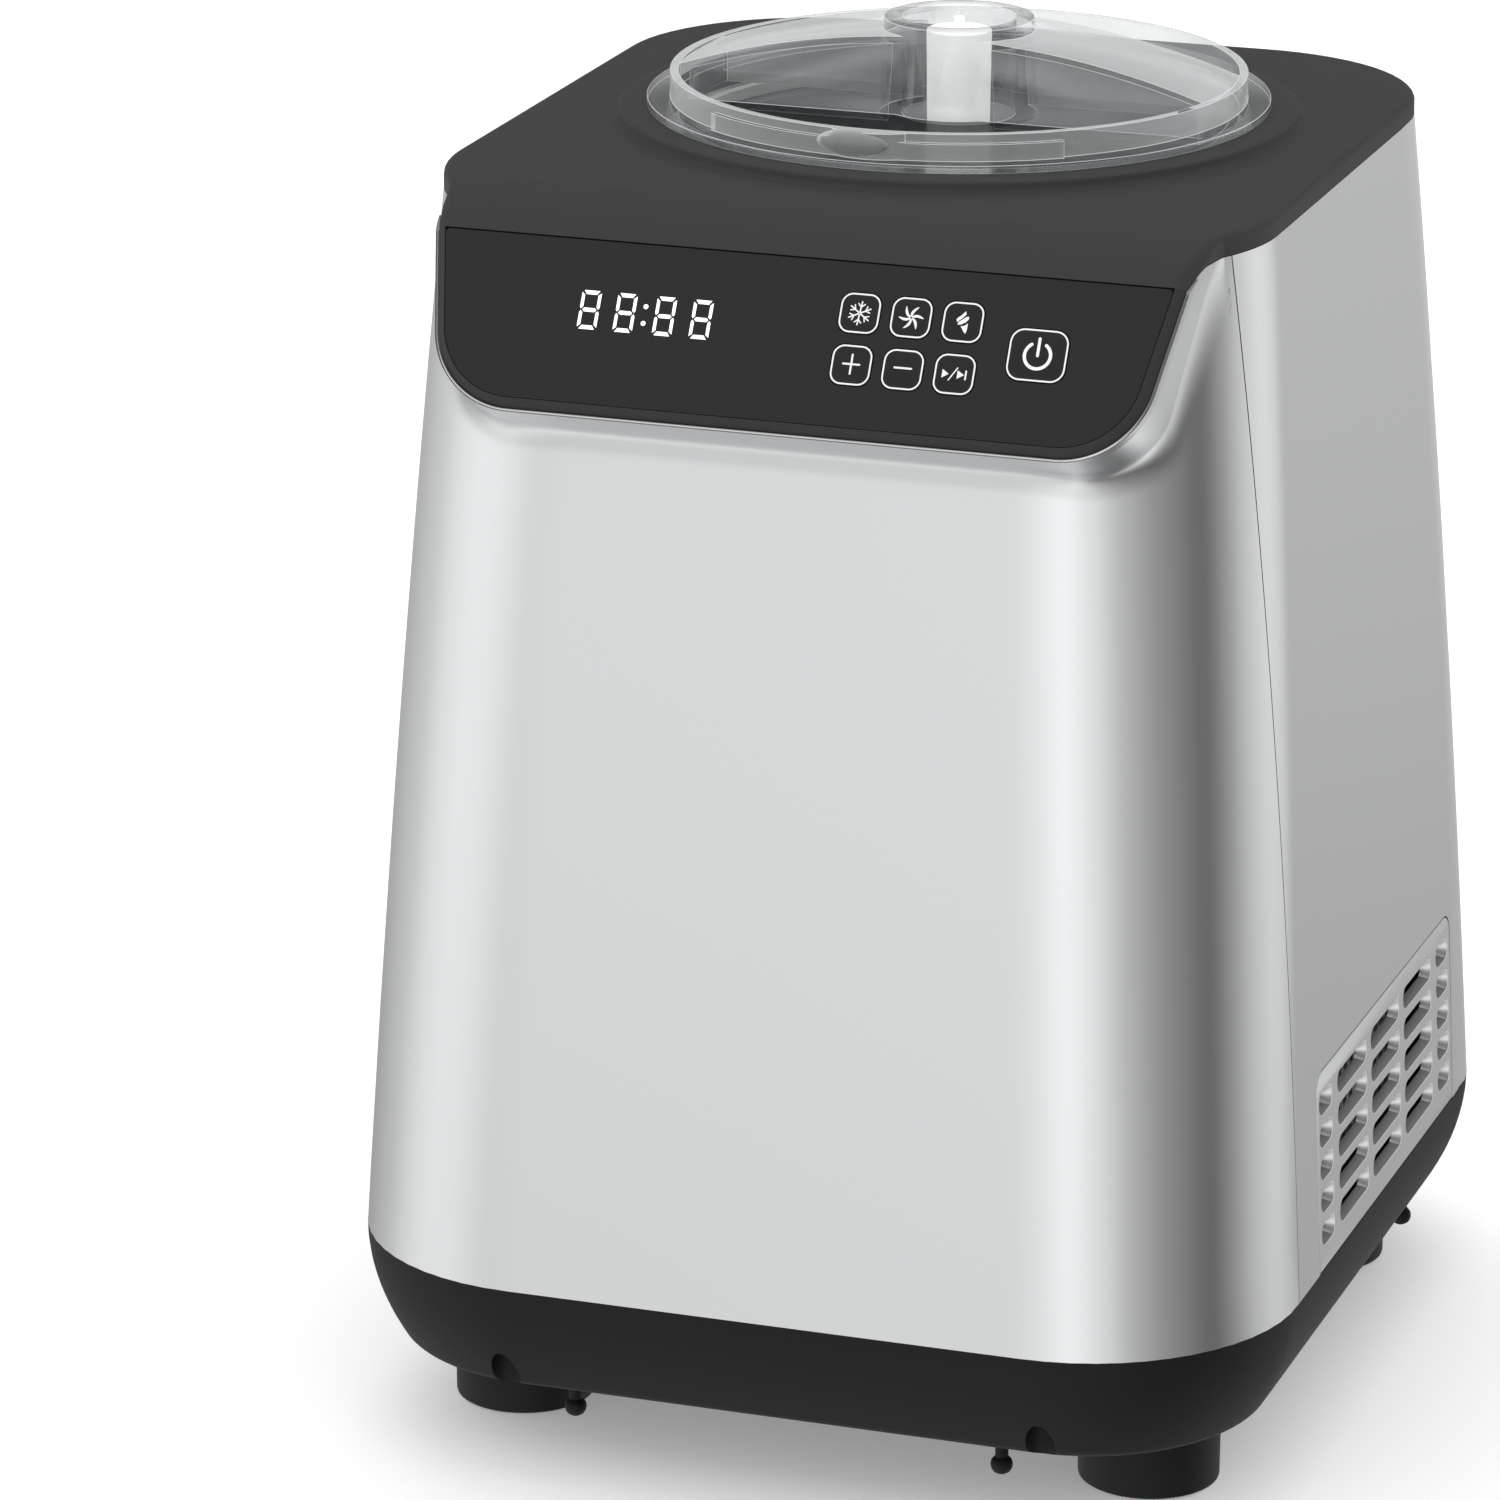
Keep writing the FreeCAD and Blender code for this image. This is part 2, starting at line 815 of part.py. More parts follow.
def board_post_points():
    inset = 2 * board_post_r
    xs = (-board_half_length + inset, board_half_length - inset)
    ys = (-board_margin - inset, -board_margin - board_height + inset)
    return [Vector(x, y, 0) for x in xs for y in ys]


def display_block(grow, depth0, depth1):
    half_x = display_length / 2 + grow
    half_y = display_height / 2 + grow
    y = -display_row
    return box(display_x - half_x, display_x + half_x, y - half_y, y + half_y, depth0, depth1)


def make_control_fascia():
    panel = Part.makeLoft([
        fascia_outline(0, -panel_gap, -fascia_thick),
        fascia_outline(0, -panel_gap, -fascia_edge),
        fascia_outline(-fascia_bevel, -panel_gap, 0),
    ], True, True)
    posts = [cylinder(p, board_post_r, -board_depth, -fascia_edge) for p in board_post_points()]
    panel = fuse([panel] + posts)
    cuts = [display_block(rest_gap, -2 * fascia_thick, -display_skin)]
    for name, x, y, width, height, r in key_places():
        cuts.append(key_block(x, y, width, height, r, slide_gap, -2 * fascia_thick, fascia_thick))
    return placed(panel.cut(Part.makeCompound(cuts)))


def make_key(x, y, width, height, r):
    flange_front = -fascia_thick - rest_gap
    cap = key_block(x, y, width, height, r, 0, flange_front, key_proud)
    flange = key_block(x, y, width, height, r, key_flange, flange_front - key_flange_thick, flange_front)
    dish = key_block(x, y, width, height, r, -key_border, key_proud - key_dish, fascia_thick)
    return placed(cap.fuse(flange).removeSplitter().cut(dish))


def make_control_board():
    board = box(-board_half_length, board_half_length, -board_margin - board_height, -board_margin,
                -board_depth - board_thick, -board_depth)
    switch_top = -fascia_thick - rest_gap - key_flange_thick - key_travel - slide_gap
    half = switch_size / 2
    parts = [board]
    for name, x, y, width, height, r in key_places():
        parts.append(box(x - half, x + half, y - half, y + half, -board_depth, switch_top))
    return placed(fuse(parts))


def make_display_module():
    return placed(display_block(0, -board_depth, -display_skin - rest_gap))


# Clear lid with arched bridge, tube, lock tabs and thumb bump
def bridge_block(half_width, crown_z, end_z, low_z, reach):
    ends = (Vector(-reach, 0, end_z), Vector(0, 0, crown_z), Vector(reach, 0, end_z))
    crown = Part.Arc(*ends).toShape()
    foot = Part.makeLine(Vector(reach, 0, low_z), Vector(-reach, 0, low_z))
    block = Part.Face(closed_wire([crown, foot])).extrude(Vector(0, 2 * half_width, 0))
    block.translate(bowl_axis - Vector(0, half_width, 0))
    return block


def make_lid():
    rim = ring(bowl_axis, lid_rim_r, lid_rim_r - lid_wall, skirt_bottom, lid_rim_top)
    flange = ring(bowl_axis, lid_flange_r, lid_rim_r - lid_wall, flange_bottom, flange_top)
    floor = cylinder(bowl_axis, lid_rim_r - lid_wall / 2, lid_floor_bottom, lid_floor_top)
    reach = lid_rim_r - lid_wall
    crown_z = flange_top + bridge_crown
    end_z = flange_top + bridge_end_rise
    inside_rim = cylinder(bowl_axis, lid_rim_r - lid_wall / 2, skirt_bottom, tube_top)
    bridge = bridge_block(bridge_half_width, crown_z, end_z, lid_floor_bottom, reach).common(inside_rim)
    channel = bridge_block(bridge_half_width - lid_wall, crown_z - lid_wall, end_z - lid_wall,
                           skirt_bottom, reach)
    channel = channel.common(cylinder(bowl_axis, lid_rim_r - 2 * lid_wall, skirt_bottom, tube_top))
    shell = fuse([rim, flange, floor, bridge]).cut(channel)
    tube_wall = cone(bowl_axis, lid_tube_foot_r, lid_tube_r, lid_floor_bottom, tube_top)
    parts = [shell, tube_wall]
    for i in range(tab_count):
        middle = i * 360 / tab_count
        parts.append(sector(bowl_axis, lid_rim_r + tab_reach, lid_rim_r - lid_wall / 2, skirt_bottom,
                            skirt_bottom + tab_height, middle, tab_half_angle))
    rib_low = flange_top - lid_flange / 2
    parts.append(sector(bowl_axis, lid_rim_r + lock_rib, lid_rim_r - lid_wall / 2, rib_low,
                        lid_rim_top - lid_wall, front_angle, lock_rib_half_angle))
    thumb_r = (thumb_half_width ** 2 + thumb_rise ** 2) / (2 * thumb_rise)
    thumb_center = bowl_axis + Vector(0, -lid_rim_r + thumb_r - thumb_rise, 0)
    thumb = cylinder(thumb_center, thumb_r, rib_low, lid_rim_top)
    thumb_front = bowl_axis_y - lid_flange_r
    thumb_back = bowl_axis_y - lid_rim_r + lid_wall
    limit = box(-thumb_half_width, thumb_half_width, thumb_front, thumb_back, skirt_bottom, tube_top)
    parts.append(thumb.common(limit))
    lid = fuse(parts)
    return lid.cut(cylinder(bowl_axis, lid_tube_r - lid_tube_wall, skirt_bottom, tube_top + overcut))


def make_lid_seal():
    return ring(bowl_axis, lid_rim_r, lid_rim_r - seal_width, seal_bottom, seal_top)


# Bowl with hollow post, and the paddle that sits over it
def bowl_profile(r, low, corner):
    angles = [math.radians(90 * i / bowl_corner_steps) for i in range(bowl_corner_steps + 1)]
    bend = [(r - corner + corner * math.sin(a), low + corner - corner * math.cos(a)) for a in angles]
    return [(0, low)] + bend + [(r, bowl_rim_top), (0, bowl_rim_top)]


def make_bowl():
    outer = turned(bowl_axis, bowl_profile(bowl_r, bowl_bottom, bowl_corner_r))
    inside = bowl_profile(bowl_r - bowl_wall, bowl_bottom + bowl_wall, bowl_corner_r - bowl_wall)
    inner = turned(bowl_axis, inside)
    rim = ring(bowl_axis, bowl_r + bowl_rim_width, bowl_r - bowl_wall, bowl_rim_bottom, bowl_rim_top)
    post = cylinder(bowl_axis, post_r, bowl_bottom, post_top)
    bowl = fuse([outer.cut(inner), rim, post])
    bore = cylinder(bowl_axis, post_r - post_wall, bowl_bottom - overcut, post_top - post_wall)
    mouth = cylinder(bowl_axis, shaft_r + rest_gap, bowl_bottom, post_top + overcut)
    return bowl.cut(bore).cut(mouth)


def make_blade(turn):
    inner = hub_r - hub_wall / 2
    outer = bowl_r - bowl_wall - blade_tip_gap
    low = bowl_bottom + bowl_wall + blade_floor_gap
    high = low + blade_height
    slope_low = high - blade_slope
    plate = [(inner, low + bowl_corner_r / 2), (outer - bowl_corner_r, low), (outer, low + bowl_corner_r),
             (outer, high), (outer - blade_frame, high), (inner, slope_low)]
    window = [(inner + blade_frame, low + blade_frame + bowl_corner_r / 2),
              (outer - blade_frame, low + blade_frame + bowl_corner_r / 2),
              (outer - blade_frame, high - blade_frame - blade_slope / 4),
              (inner + blade_frame, slope_low - blade_frame)]
    faces = []
    for outline in (plate, window):
        corners = [bowl_axis + Vector(x, -blade_thick / 2, z) for x, z in outline]
        faces.append(Part.Face(Part.makePolygon(corners + corners[:1])))
    blade = faces[0].extrude(Vector(0, blade_thick, 0)).cut(faces[1].extrude(Vector(0, blade_thick, 0)))
    blade.rotate(bowl_axis, z_axis, turn)
    return blade


def make_paddle():
    low = bowl_bottom + bowl_wall + blade_floor_gap
    shoulder = shaft_top + hub_wall
    sleeve = cylinder(bowl_axis, hub_r, low, shoulder)
    taper = cone(bowl_axis, hub_r, stem_r, shoulder, shoulder + hub_wall)
    stem = cylinder(bowl_axis, stem_r, shoulder + hub_wall, stem_top)
    pin = cylinder(bowl_axis, stem_pin_r, stem_top, stem_top + stem_pin)
    paddle = fuse([sleeve, taper, stem, pin, make_blade(0), make_blade(180)])
    bore = cylinder(bowl_axis, post_r + 2 * rest_gap, low - overcut, post_top + rest_gap)
    socket = hexagon(bowl_axis, hex_flat + slide_gap, post_top, shaft_top + rest_gap)
    return paddle.cut(bore).cut(socket)


# Freezing chamber, its coil and insulation
def make_freezing_chamber():
    flange_low = chamber_flange_top - chamber_wall
    outer = cylinder(bowl_axis, chamber_r + chamber_wall, chamber_bottom, chamber_flange_top)
    flange = cylinder(bowl_axis, chamber_r + chamber_flange_width, flange_low, chamber_flange_top)
    inner = cylinder(bowl_axis, chamber_r, chamber_floor, chamber_flange_top + overcut)
    shaft_hole = cylinder(bowl_axis, shaft_r + rest_gap, chamber_bottom - overcut, chamber_floor + overcut)
    return fuse([outer, flange]).cut(inner).cut(shaft_hole)


def make_chamber_gasket():
    top = chamber_flange_top + gasket_height
    return ring(bowl_axis, bore_r + gasket_width, bore_r, chamber_flange_top, top)


def coil_end(turns):
    return Vector(0, bowl_axis_y + coil_r, chamber_floor + coil_start + turns * coil_pitch)


def make_evaporator_coil():
    samples = []
    for step in range(coil_steps * coil_turns + 1):
        angle = 2 * math.pi * step / coil_steps
        out = Vector(-math.sin(angle), math.cos(angle), 0) * coil_r
        along = Vector(-math.cos(angle) * coil_r, -math.sin(angle) * coil_r, coil_pitch / (2 * math.pi))
        level = chamber_floor + coil_start + coil_pitch * step / coil_steps
        samples.append((bowl_axis + out + z_axis * level, along.normalize()))
    return tube(samples, coil_tube_r)


def line_duct():
    half = suction_tube_r + line_clear
    reach = line_x() + half
    y0 = bowl_axis_y + coil_r - suction_tube_r - overcut
    return box(-reach, reach, y0, line_y() + half, foam_bottom - overcut, coil_end(coil_turns).z + half)


def line_y():
    return bowl_axis_y + coil_r + 2 * bend_r + coil_tube_r


def line_x():
    return 2 * bend_r + 2 * coil_tube_r


def make_insulation():
    foam = cylinder(bowl_axis, foam_outer_r, foam_bottom, foam_top)
    foam = foam.cut(cylinder(bowl_axis, foam_inner_r, chamber_bottom, foam_top + overcut))
    foam = foam.cut(cylinder(bowl_axis, shaft_r + bush_wall + rest_gap, foam_bottom - overcut, foam_top))
    return foam.cut(line_duct())


# Deck on four legs, with the gear case hanging under it
def make_support_deck():
    plate = Part.Face(body_section(deck_bottom, shell_wall + deck_margin)).extrude(z_axis * deck_thick)
    limit = body_solid(shell_wall + deck_margin, deck_bottom - overcut, deck_top + overcut)
    parts = [plate.common(limit)]
    for x in (-leg_x, leg_x):
        for y in (-leg_front, leg_back):
            parts.append(cylinder(Vector(x, y, 0), leg_r, tray_floor, deck_top))
    deck = fuse(parts)
    deck = deck.cut(hole(bowl_axis, shaft_r + bush_wall + running_gap, deck_bottom, deck_top))
    for x in (-line_x(), line_x()):
        deck = deck.cut(hole(Vector(x, line_y(), 0), suction_tube_r + line_clear, deck_bottom, deck_top))
    return deck


def case_block(grow, z0, z1):
    lay_tip = gear_module * (lay_teeth / 2 + tooth_addendum) + gear_tip_clear
    output_tip = gear_module * (output_teeth / 2 + tooth_addendum) + gear_tip_clear
    pinion_tip = gear_module * (pinion_teeth / 2 + tooth_addendum) + gear_tip_clear
    x0 = motor_axis.x - pinion_tip - grow
    x1 = output_tip + grow
    y0 = lay_axis.y - lay_tip - grow
    y1 = bowl_axis.y + output_tip + grow
    return rounded_block(x0, x1, y0, y1, case_corner_r + grow, z0, z1)


def make_gearbox_case():
    case = case_block(case_wall, case_bottom, deck_bottom)
    case = case.cut(case_block(0, case_inner_floor, deck_bottom + overcut))
    boss_top = case_inner_floor + gear_layer_gap - rest_gap + bush_length
    bush_r = shaft_r + bush_wall
    case = fuse([case, cylinder(bowl_axis, bush_r + boss_wall, case_bottom, boss_top)])
    seat_low = case_bottom + case_floor / 2
    case = case.cut(cylinder(bowl_axis, bush_r + running_gap, seat_low, boss_top + overcut))
    case = case.cut(cylinder(lay_axis, lay_pin_r + running_gap, case_bottom, deck_bottom))
    return case.cut(cylinder(motor_axis, motor_shaft_r + rest_gap, case_bottom - overcut, deck_bottom))


def make_drive_bushes():
    low = case_bottom + case_floor / 2
    outer_r = shaft_r + bush_wall
    inner_r = shaft_r + running_gap
    lower = ring(bowl_axis, outer_r, inner_r, low, low + bush_length)
    upper = ring(bowl_axis, outer_r, inner_r, deck_bottom - bush_length + 2 * rest_gap, deck_top)
    return Part.makeCompound([lower, upper])


def make_drive_shaft():
    round_top = post_top + rest_gap
    low = case_bottom + case_floor / 2
    shaft = cylinder(bowl_axis, shaft_r, low, round_top)
    return fuse([shaft, hexagon(bowl_axis, hex_flat, round_top, shaft_top)])


def make_output_gear():
    wheel = gear(bowl_axis, output_teeth, output_gear_bottom, front_angle + 180 / output_teeth)
    return wheel.cut(hole(bowl_axis, shaft_r + running_gap, output_gear_bottom, output_gear_top))


def make_lay_gear():
    wheel = gear(lay_axis, lay_teeth, lay_gear_bottom, 180)
    pinion = gear(lay_axis, pinion_teeth, output_gear_bottom, 90)
    sleeve = cylinder(lay_axis, lay_pin_r + bush_wall, lay_gear_bottom, output_gear_bottom)
    both = wheel.fuse(sleeve).fuse(pinion)
    return both.cut(hole(lay_axis, lay_pin_r + running_gap, lay_gear_bottom, output_gear_top))


def make_lay_pin():
    return cylinder(lay_axis, lay_pin_r, case_bottom, deck_bottom)


def make_motor_pinion():
    pinion = gear(motor_axis, pinion_teeth, lay_gear_bottom, 180 / pinion_teeth)
    shaft = cylinder(motor_axis, motor_shaft_r, case_bottom - motor_shaft_depth, lay_gear_top)
    return pinion.fuse(shaft).removeSplitter()


def make_drive_motor():
    low = case_bottom - motor_length
    can = turned(motor_axis, [(0, low), (motor_r - motor_edge_r, low), (motor_r, low + motor_edge_r),
                              (motor_r, case_bottom), (0, case_bottom)])
    bore_bottom = case_bottom - motor_shaft_depth - rest_gap
    return can.cut(cylinder(motor_axis, motor_shaft_r + running_gap, bore_bottom, case_bottom + overcut))


# Cooling circuit
def compressor_axis():
    return Vector(compressor_x, compressor_y, 0)


def grommet_points():
    corners = [(sx * grommet_spread, sy * grommet_spread) for sx in (-1, 1) for sy in (-1, 1)]
    return [compressor_axis() + Vector(x, y, 0) for x, y in corners]


def discharge_point():
    return compressor_axis() + Vector(compressor_r / 2, 0, 0)


def suction_point():
    return Vector(-line_x(), line_y(), 0)


def make_compressor():
    axis = compressor_axis()
    dome = compressor_dome
    edge_r = compressor_r
    profile = [(edge_r - 2 * dome, 0), (edge_r - dome / 2, dome / 2), (edge_r, 3 * dome / 2)]
    low = [(r, compressor_bottom + z) for r, z in profile]
    high = [(r, compressor_top - z) for r, z in reversed(profile)]
    can = turned(axis, [(0, compressor_bottom)] + low + high + [(0, compressor_top)])
    middle = (compressor_bottom + compressor_top) / 2
    band_low = middle - weld_band_height / 2
    band = cylinder(axis, edge_r + weld_band, band_low, band_low + weld_band_height)
    corner_r = grommet_r + plate_margin
    half = grommet_spread + corner_r
    plate_low = compressor_bottom - plate_thick
    plate = rounded_block(-half, half, -half, half, corner_r, plate_low, compressor_bottom)
    plate.translate(axis)
    stub_low = compressor_top - stub_height
    stub_high = compressor_top + stub_height
    stubs = [
        cylinder(suction_point(), suction_tube_r, stub_low, stub_high),
        cylinder(discharge_point(), discharge_tube_r, stub_low, stub_high),
    ]
    return fuse([can, band, plate] + stubs)


def make_grommets():
    low = tray_floor
    return Part.makeCompound([cylinder(p, grommet_r, low, low + grommet_height) for p in grommet_points()])


def condenser_box():
    x0 = condenser_x - condenser_thick / 2
    y0 = condenser_y - condenser_length / 2
    z0 = tray_floor + rail_height
    return x0, x0 + condenser_thick, y0, y0 + condenser_length, z0, z0 + condenser_height


def make_condenser():
    x0, x1, y0, y1, z0, z1 = condenser_box()
    block = box(x0, x1, y0, y1, z0, z1)
    pitch = condenser_length / (fin_count + 1)
    cuts = []
    for i in range(fin_count):
        y = y0 + pitch * (i + 1)
        for low_x, high_x in ((x1 - fin_depth, x1 + overcut), (x0 - overcut, x0 + fin_depth)):
            cuts.append(box(low_x, high_x, y - fin_gap / 2, y + fin_gap / 2, z0 - overcut, z1 + overcut))
    return block.cut(Part.makeCompound(cuts))


def fan_center():
    return Vector(fan_x, fan_y, tray_floor + rail_height + fan_size / 2)


def face_x(shape):
    turned_shape = shape.copy()
    turned_shape.rotate(Vector(0, 0, 0), Vector(0, 1, 0), 90)
    turned_shape.translate(fan_center())
    return turned_shape


def make_fan_frame():
    half = fan_size / 2
    origin = Vector(0, 0, 0)
    low = -fan_thick / 2
    frame = box(-half, half, -half, half, low, fan_thick / 2)
    frame = frame.cut(cylinder(origin, half - fan_wall, low - overcut, fan_thick / 2 + overcut))
    struts = []
    for turn in (0, 90):
        reach = half - fan_wall / 2
        strut = box(-reach, reach, -fan_strut / 2, fan_strut / 2, low, low + fan_strut / 2)
        strut.rotate(origin, z_axis, turn)
        struts.append(strut)
    motor = cylinder(origin, fan_hub_r - fan_wall, low, low + fan_motor_length)
    pin = cylinder(origin, fan_pin_r, low, fan_thick / 2 - 2 * fan_wall)
    return face_x(fuse([frame, motor, pin] + struts))


def make_fan_rotor():
    origin = Vector(0, 0, 0)
    low = -fan_thick / 2 + fan_motor_length + rest_gap * 2
    high = fan_thick / 2 - fan_wall
    parts = [cylinder(origin, fan_hub_r, low, high)]
    tip_r = fan_size / 2 - fan_wall - fan_tip_gap
    middle = (low + high) / 2
    for i in range(fan_blades):
        wires = []
        for r, pitch in ((fan_hub_r - fan_wall, fan_root_angle), (tip_r, fan_tip_angle)):
            a = math.radians(pitch)
            along = Vector(0, math.cos(a), math.sin(a)) * (fan_chord / 2)
            across = Vector(0, -math.sin(a), math.cos(a)) * (fan_blade_thick / 2)
            center = Vector(r, 0, middle)
            corners = [center + along + across, center - along + across]
            corners += [center - along - across, center + along - across]
            wires.append(Part.makePolygon(corners + corners[:1]))
        blade = Part.makeLoft(wires, True, True)
        blade.rotate(origin, z_axis, i * 360 / fan_blades)
        parts.append(blade)
    rotor = fuse(parts)
    pin_top = fan_thick / 2 - 2 * fan_wall
    pin_hole = cylinder(origin, fan_pin_r + running_gap, low - overcut, pin_top + rest_gap)
    return face_x(rotor.cut(pin_hole))


def make_filter_drier():
    axis = Vector(drier_x, drier_y, 0)
    z0 = drier_low
    z1 = drier_low + drier_length
    return turned(axis, [(0, z0), (discharge_tube_r, z0), (discharge_tube_r, z0 + drier_neck / 2),
                         (drier_r, z0 + drier_neck), (drier_r, z1 - drier_neck),
                         (discharge_tube_r, z1 - drier_neck / 2), (discharge_tube_r, z1), (0, z1)])


def make_suction_line():
    end = coil_end(coil_turns)
    start = end + Vector(-rest_gap, 0, 0)
    corner = Vector(-line_x(), end.y, end.z)
    top = suction_point() + z_axis * end.z
    bottom = suction_point() + z_axis * (compressor_top + stub_height)
    return tube(bend_path([start, corner, top, bottom], bend_r), suction_tube_r)


def make_capillary():
    end = coil_end(0)
    level = mix(compressor_top, deck_bottom, capillary_level)
    drier_top = Vector(drier_x, drier_y, drier_low + drier_length)
    points = [
        end + Vector(rest_gap, 0, 0),
        Vector(line_x(), end.y, end.z),
        Vector(line_x(), line_y(), end.z),
        Vector(line_x(), line_y(), level),
        Vector(drier_x, drier_y, level),
        drier_top,
    ]
    return tube(bend_path(points, bend_r), capillary_r)


def make_discharge_line():
    x0, x1, y0, y1, z0, z1 = condenser_box()
    start = discharge_point() + z_axis * (compressor_top + stub_height)
    level = mix(compressor_top, deck_bottom, discharge_level)
    out_y = y1 + 2 * bend_r
    entry_z = z1 - port_inset
    points = [
        start,
        discharge_point() + z_axis * level,
        Vector(condenser_x, out_y, level),
        Vector(condenser_x, out_y, entry_z),
        Vector(condenser_x, y1, entry_z),
    ]
    return tube(bend_path(points, bend_r), discharge_tube_r)


def make_liquid_line():
    x0, x1, y0, y1, z0, z1 = condenser_box()
    exit_z = z0 + port_inset
    points = [
        Vector(drier_x, drier_y, drier_low),
        Vector(drier_x, drier_y, exit_z),
        Vector(condenser_x, drier_y, exit_z),
        Vector(condenser_x, y1, exit_z),
    ]
    return tube(bend_path(points, bend_r), discharge_tube_r)


# Power board on its posts, and the screws under the base
def make_power_board():
    z0 = tray_floor + power_post_height
    y0 = -power_board_front
    board = box(-power_board_half_x, power_board_half_x, y0, y0 + power_board_depth, z0, z0 + board_thick)
    middle = y0 + power_board_depth / 2
    top = z0 + board_thick
    half = core_size / 2
    core = box(-core_half_length, core_half_length, middle - half, middle + half, top, top + core_size)
    can_axis = Vector(power_board_half_x - 2 * capacitor_r, middle, 0)
    can = cylinder(can_axis, capacitor_r, z0, top + capacitor_height)
    return fuse([board, core, can])


def make_base_screws():
    screws = []
    front_y = -base_half_depth + base_tuck + screw_front_inset
    side_x = base_half_width - base_tuck - screw_side_inset
    for side in (-1, 1):
        for x, y in ((side * screw_front_x, front_y), (side * side_x, screw_side_y)):
            axis = Vector(x, y, 0)
            head_low = base_bottom - screw_drop
            shank = cylinder(axis, screw_shank_r, head_low + screw_head, base_bottom)
            screws.append(shank.fuse(cylinder(axis, screw_head_r, head_low, head_low + screw_head)))
    pocket_top = base_bottom + pocket_height
    pocket_y = -base_half_depth + base_tuck - pocket_r / 2
    for side in (-1, 1):
        axis = Vector(side * pocket_x, pocket_y, 0)
        screws.append(cylinder(axis, screw_head_r, pocket_top - screw_head, pocket_top))
    return Part.makeCompound(screws)


os.makedirs("parts", exist_ok=True)

export("base_tray", make_base_tray())
pads = []
for end_name, y_sign in (("front", -1), ("rear", 1)):
    for side_name, x_sign in (("left", -1), ("right", 1)):
        export("foot_" + end_name + "_" + side_name, make_foot(x_sign * foot_x, y_sign * foot_y))
        pads.append(make_foot_pad(x_sign * foot_x, y_sign * foot_y))
export("foot_pads", Part.makeCompound(pads))
export("base_screws", make_base_screws())
export("front_shell", make_front_shell())
export("rear_shell", make_rear_shell())
export("vent_panel_left", make_vent_panel(-1))
export("vent_panel_right", make_vent_panel(1))
export("cord_gland", make_cord_gland())
export("top_cover", make_top_cover())
export("control_fascia", make_control_fascia())
export("control_board", make_control_board())
export("display_module", make_display_module())
for name, x, y, width, height, r in key_places():
    export(name, make_key(x, y, width, height, r))
export("lid", make_lid())
export("lid_seal", make_lid_seal())
export("bowl", make_bowl())
export("paddle", make_paddle())
export("freezing_chamber", make_freezing_chamber())
export("chamber_gasket", make_chamber_gasket())
export("evaporator_coil", make_evaporator_coil())
export("insulation", make_insulation())
export("support_deck", make_support_deck())
export("gearbox_case", make_gearbox_case())
export("drive_bushes", make_drive_bushes())
export("drive_shaft", make_drive_shaft())
export("output_gear", make_output_gear())
export("lay_gear", make_lay_gear())
export("lay_pin", make_lay_pin())
export("motor_pinion", make_motor_pinion())
export("drive_motor", make_drive_motor())
export("compressor", make_compressor())
export("compressor_grommets", make_grommets())
export("condenser", make_condenser())
export("fan_frame", make_fan_frame())
export("fan_rotor", make_fan_rotor())
export("filter_drier", make_filter_drier())
export("suction_line", make_suction_line())
export("discharge_line", make_discharge_line())
export("liquid_line", make_liquid_line())
export("capillary", make_capillary())
export("power_board", make_power_board())
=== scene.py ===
import math

import bpy
from mathutils import Matrix, Vector


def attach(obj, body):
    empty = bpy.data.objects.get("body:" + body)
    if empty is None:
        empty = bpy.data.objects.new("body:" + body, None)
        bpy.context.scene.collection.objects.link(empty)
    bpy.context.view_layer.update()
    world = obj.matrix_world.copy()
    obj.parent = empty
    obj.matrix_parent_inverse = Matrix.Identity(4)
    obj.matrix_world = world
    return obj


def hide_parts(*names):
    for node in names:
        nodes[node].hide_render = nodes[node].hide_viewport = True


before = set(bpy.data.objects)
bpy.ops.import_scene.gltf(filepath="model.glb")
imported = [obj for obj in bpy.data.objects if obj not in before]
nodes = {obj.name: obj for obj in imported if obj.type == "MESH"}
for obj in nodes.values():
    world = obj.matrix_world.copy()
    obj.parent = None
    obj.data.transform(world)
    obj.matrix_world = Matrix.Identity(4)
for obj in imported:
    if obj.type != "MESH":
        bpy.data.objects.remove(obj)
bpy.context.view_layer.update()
print("frame loaded:", len(nodes), "nodes")


# small helpers, sizes in millimetres until a mesh is made

def mix(a, b, t):
    return a + (b - a) * t


def smooth(t):
    t = max(0.0, min(1.0, t))
    return t * t * (3 - 2 * t)


def hexLinear(code):
    parts = [int(code[i:i + 2], 16) / 255 for i in (1, 3, 5)]
    return [p / 12.92 if p <= 0.04045 else ((p + 0.055) / 1.055) ** 2.4 for p in parts] + [1.0]


def addNode(tree, kind, links=None, **settings):
    node = tree.nodes.new(kind)
    for key, value in settings.items():
        setattr(node, key, value)
    for socket, value in (links or {}).items():
        if isinstance(value, bpy.types.NodeSocket):
            tree.links.new(value, node.inputs[socket])
        else:
            node.inputs[socket].default_value = value
    return node


def startMaterial(name):
    mat = bpy.data.materials.new(name)
    mat.use_nodes = True
    return mat, mat.node_tree, mat.node_tree.nodes["Principled BSDF"]


def setSockets(shader, **values):
    for name, value in values.items():
        shader.inputs[name.replace("_", " ")].default_value = value


def deselectAll():
    for obj in bpy.context.selected_objects:
        obj.select_set(False)


def makeActive(obj):
    deselectAll()
    obj.select_set(True)
    bpy.context.view_layer.objects.active = obj


def newObject(name, data):
    obj = bpy.data.objects.new(name, data)
    bpy.context.scene.collection.objects.link(obj)
    makeActive(obj)
    return obj


def mergeDoubles(reach=0.000005):
    # on the active object, which stays in edit mode with all of it selected; reach in metres
    bpy.ops.object.mode_set(mode="EDIT")
    bpy.ops.mesh.select_all(action="SELECT")
    bpy.ops.mesh.remove_doubles(threshold=reach)


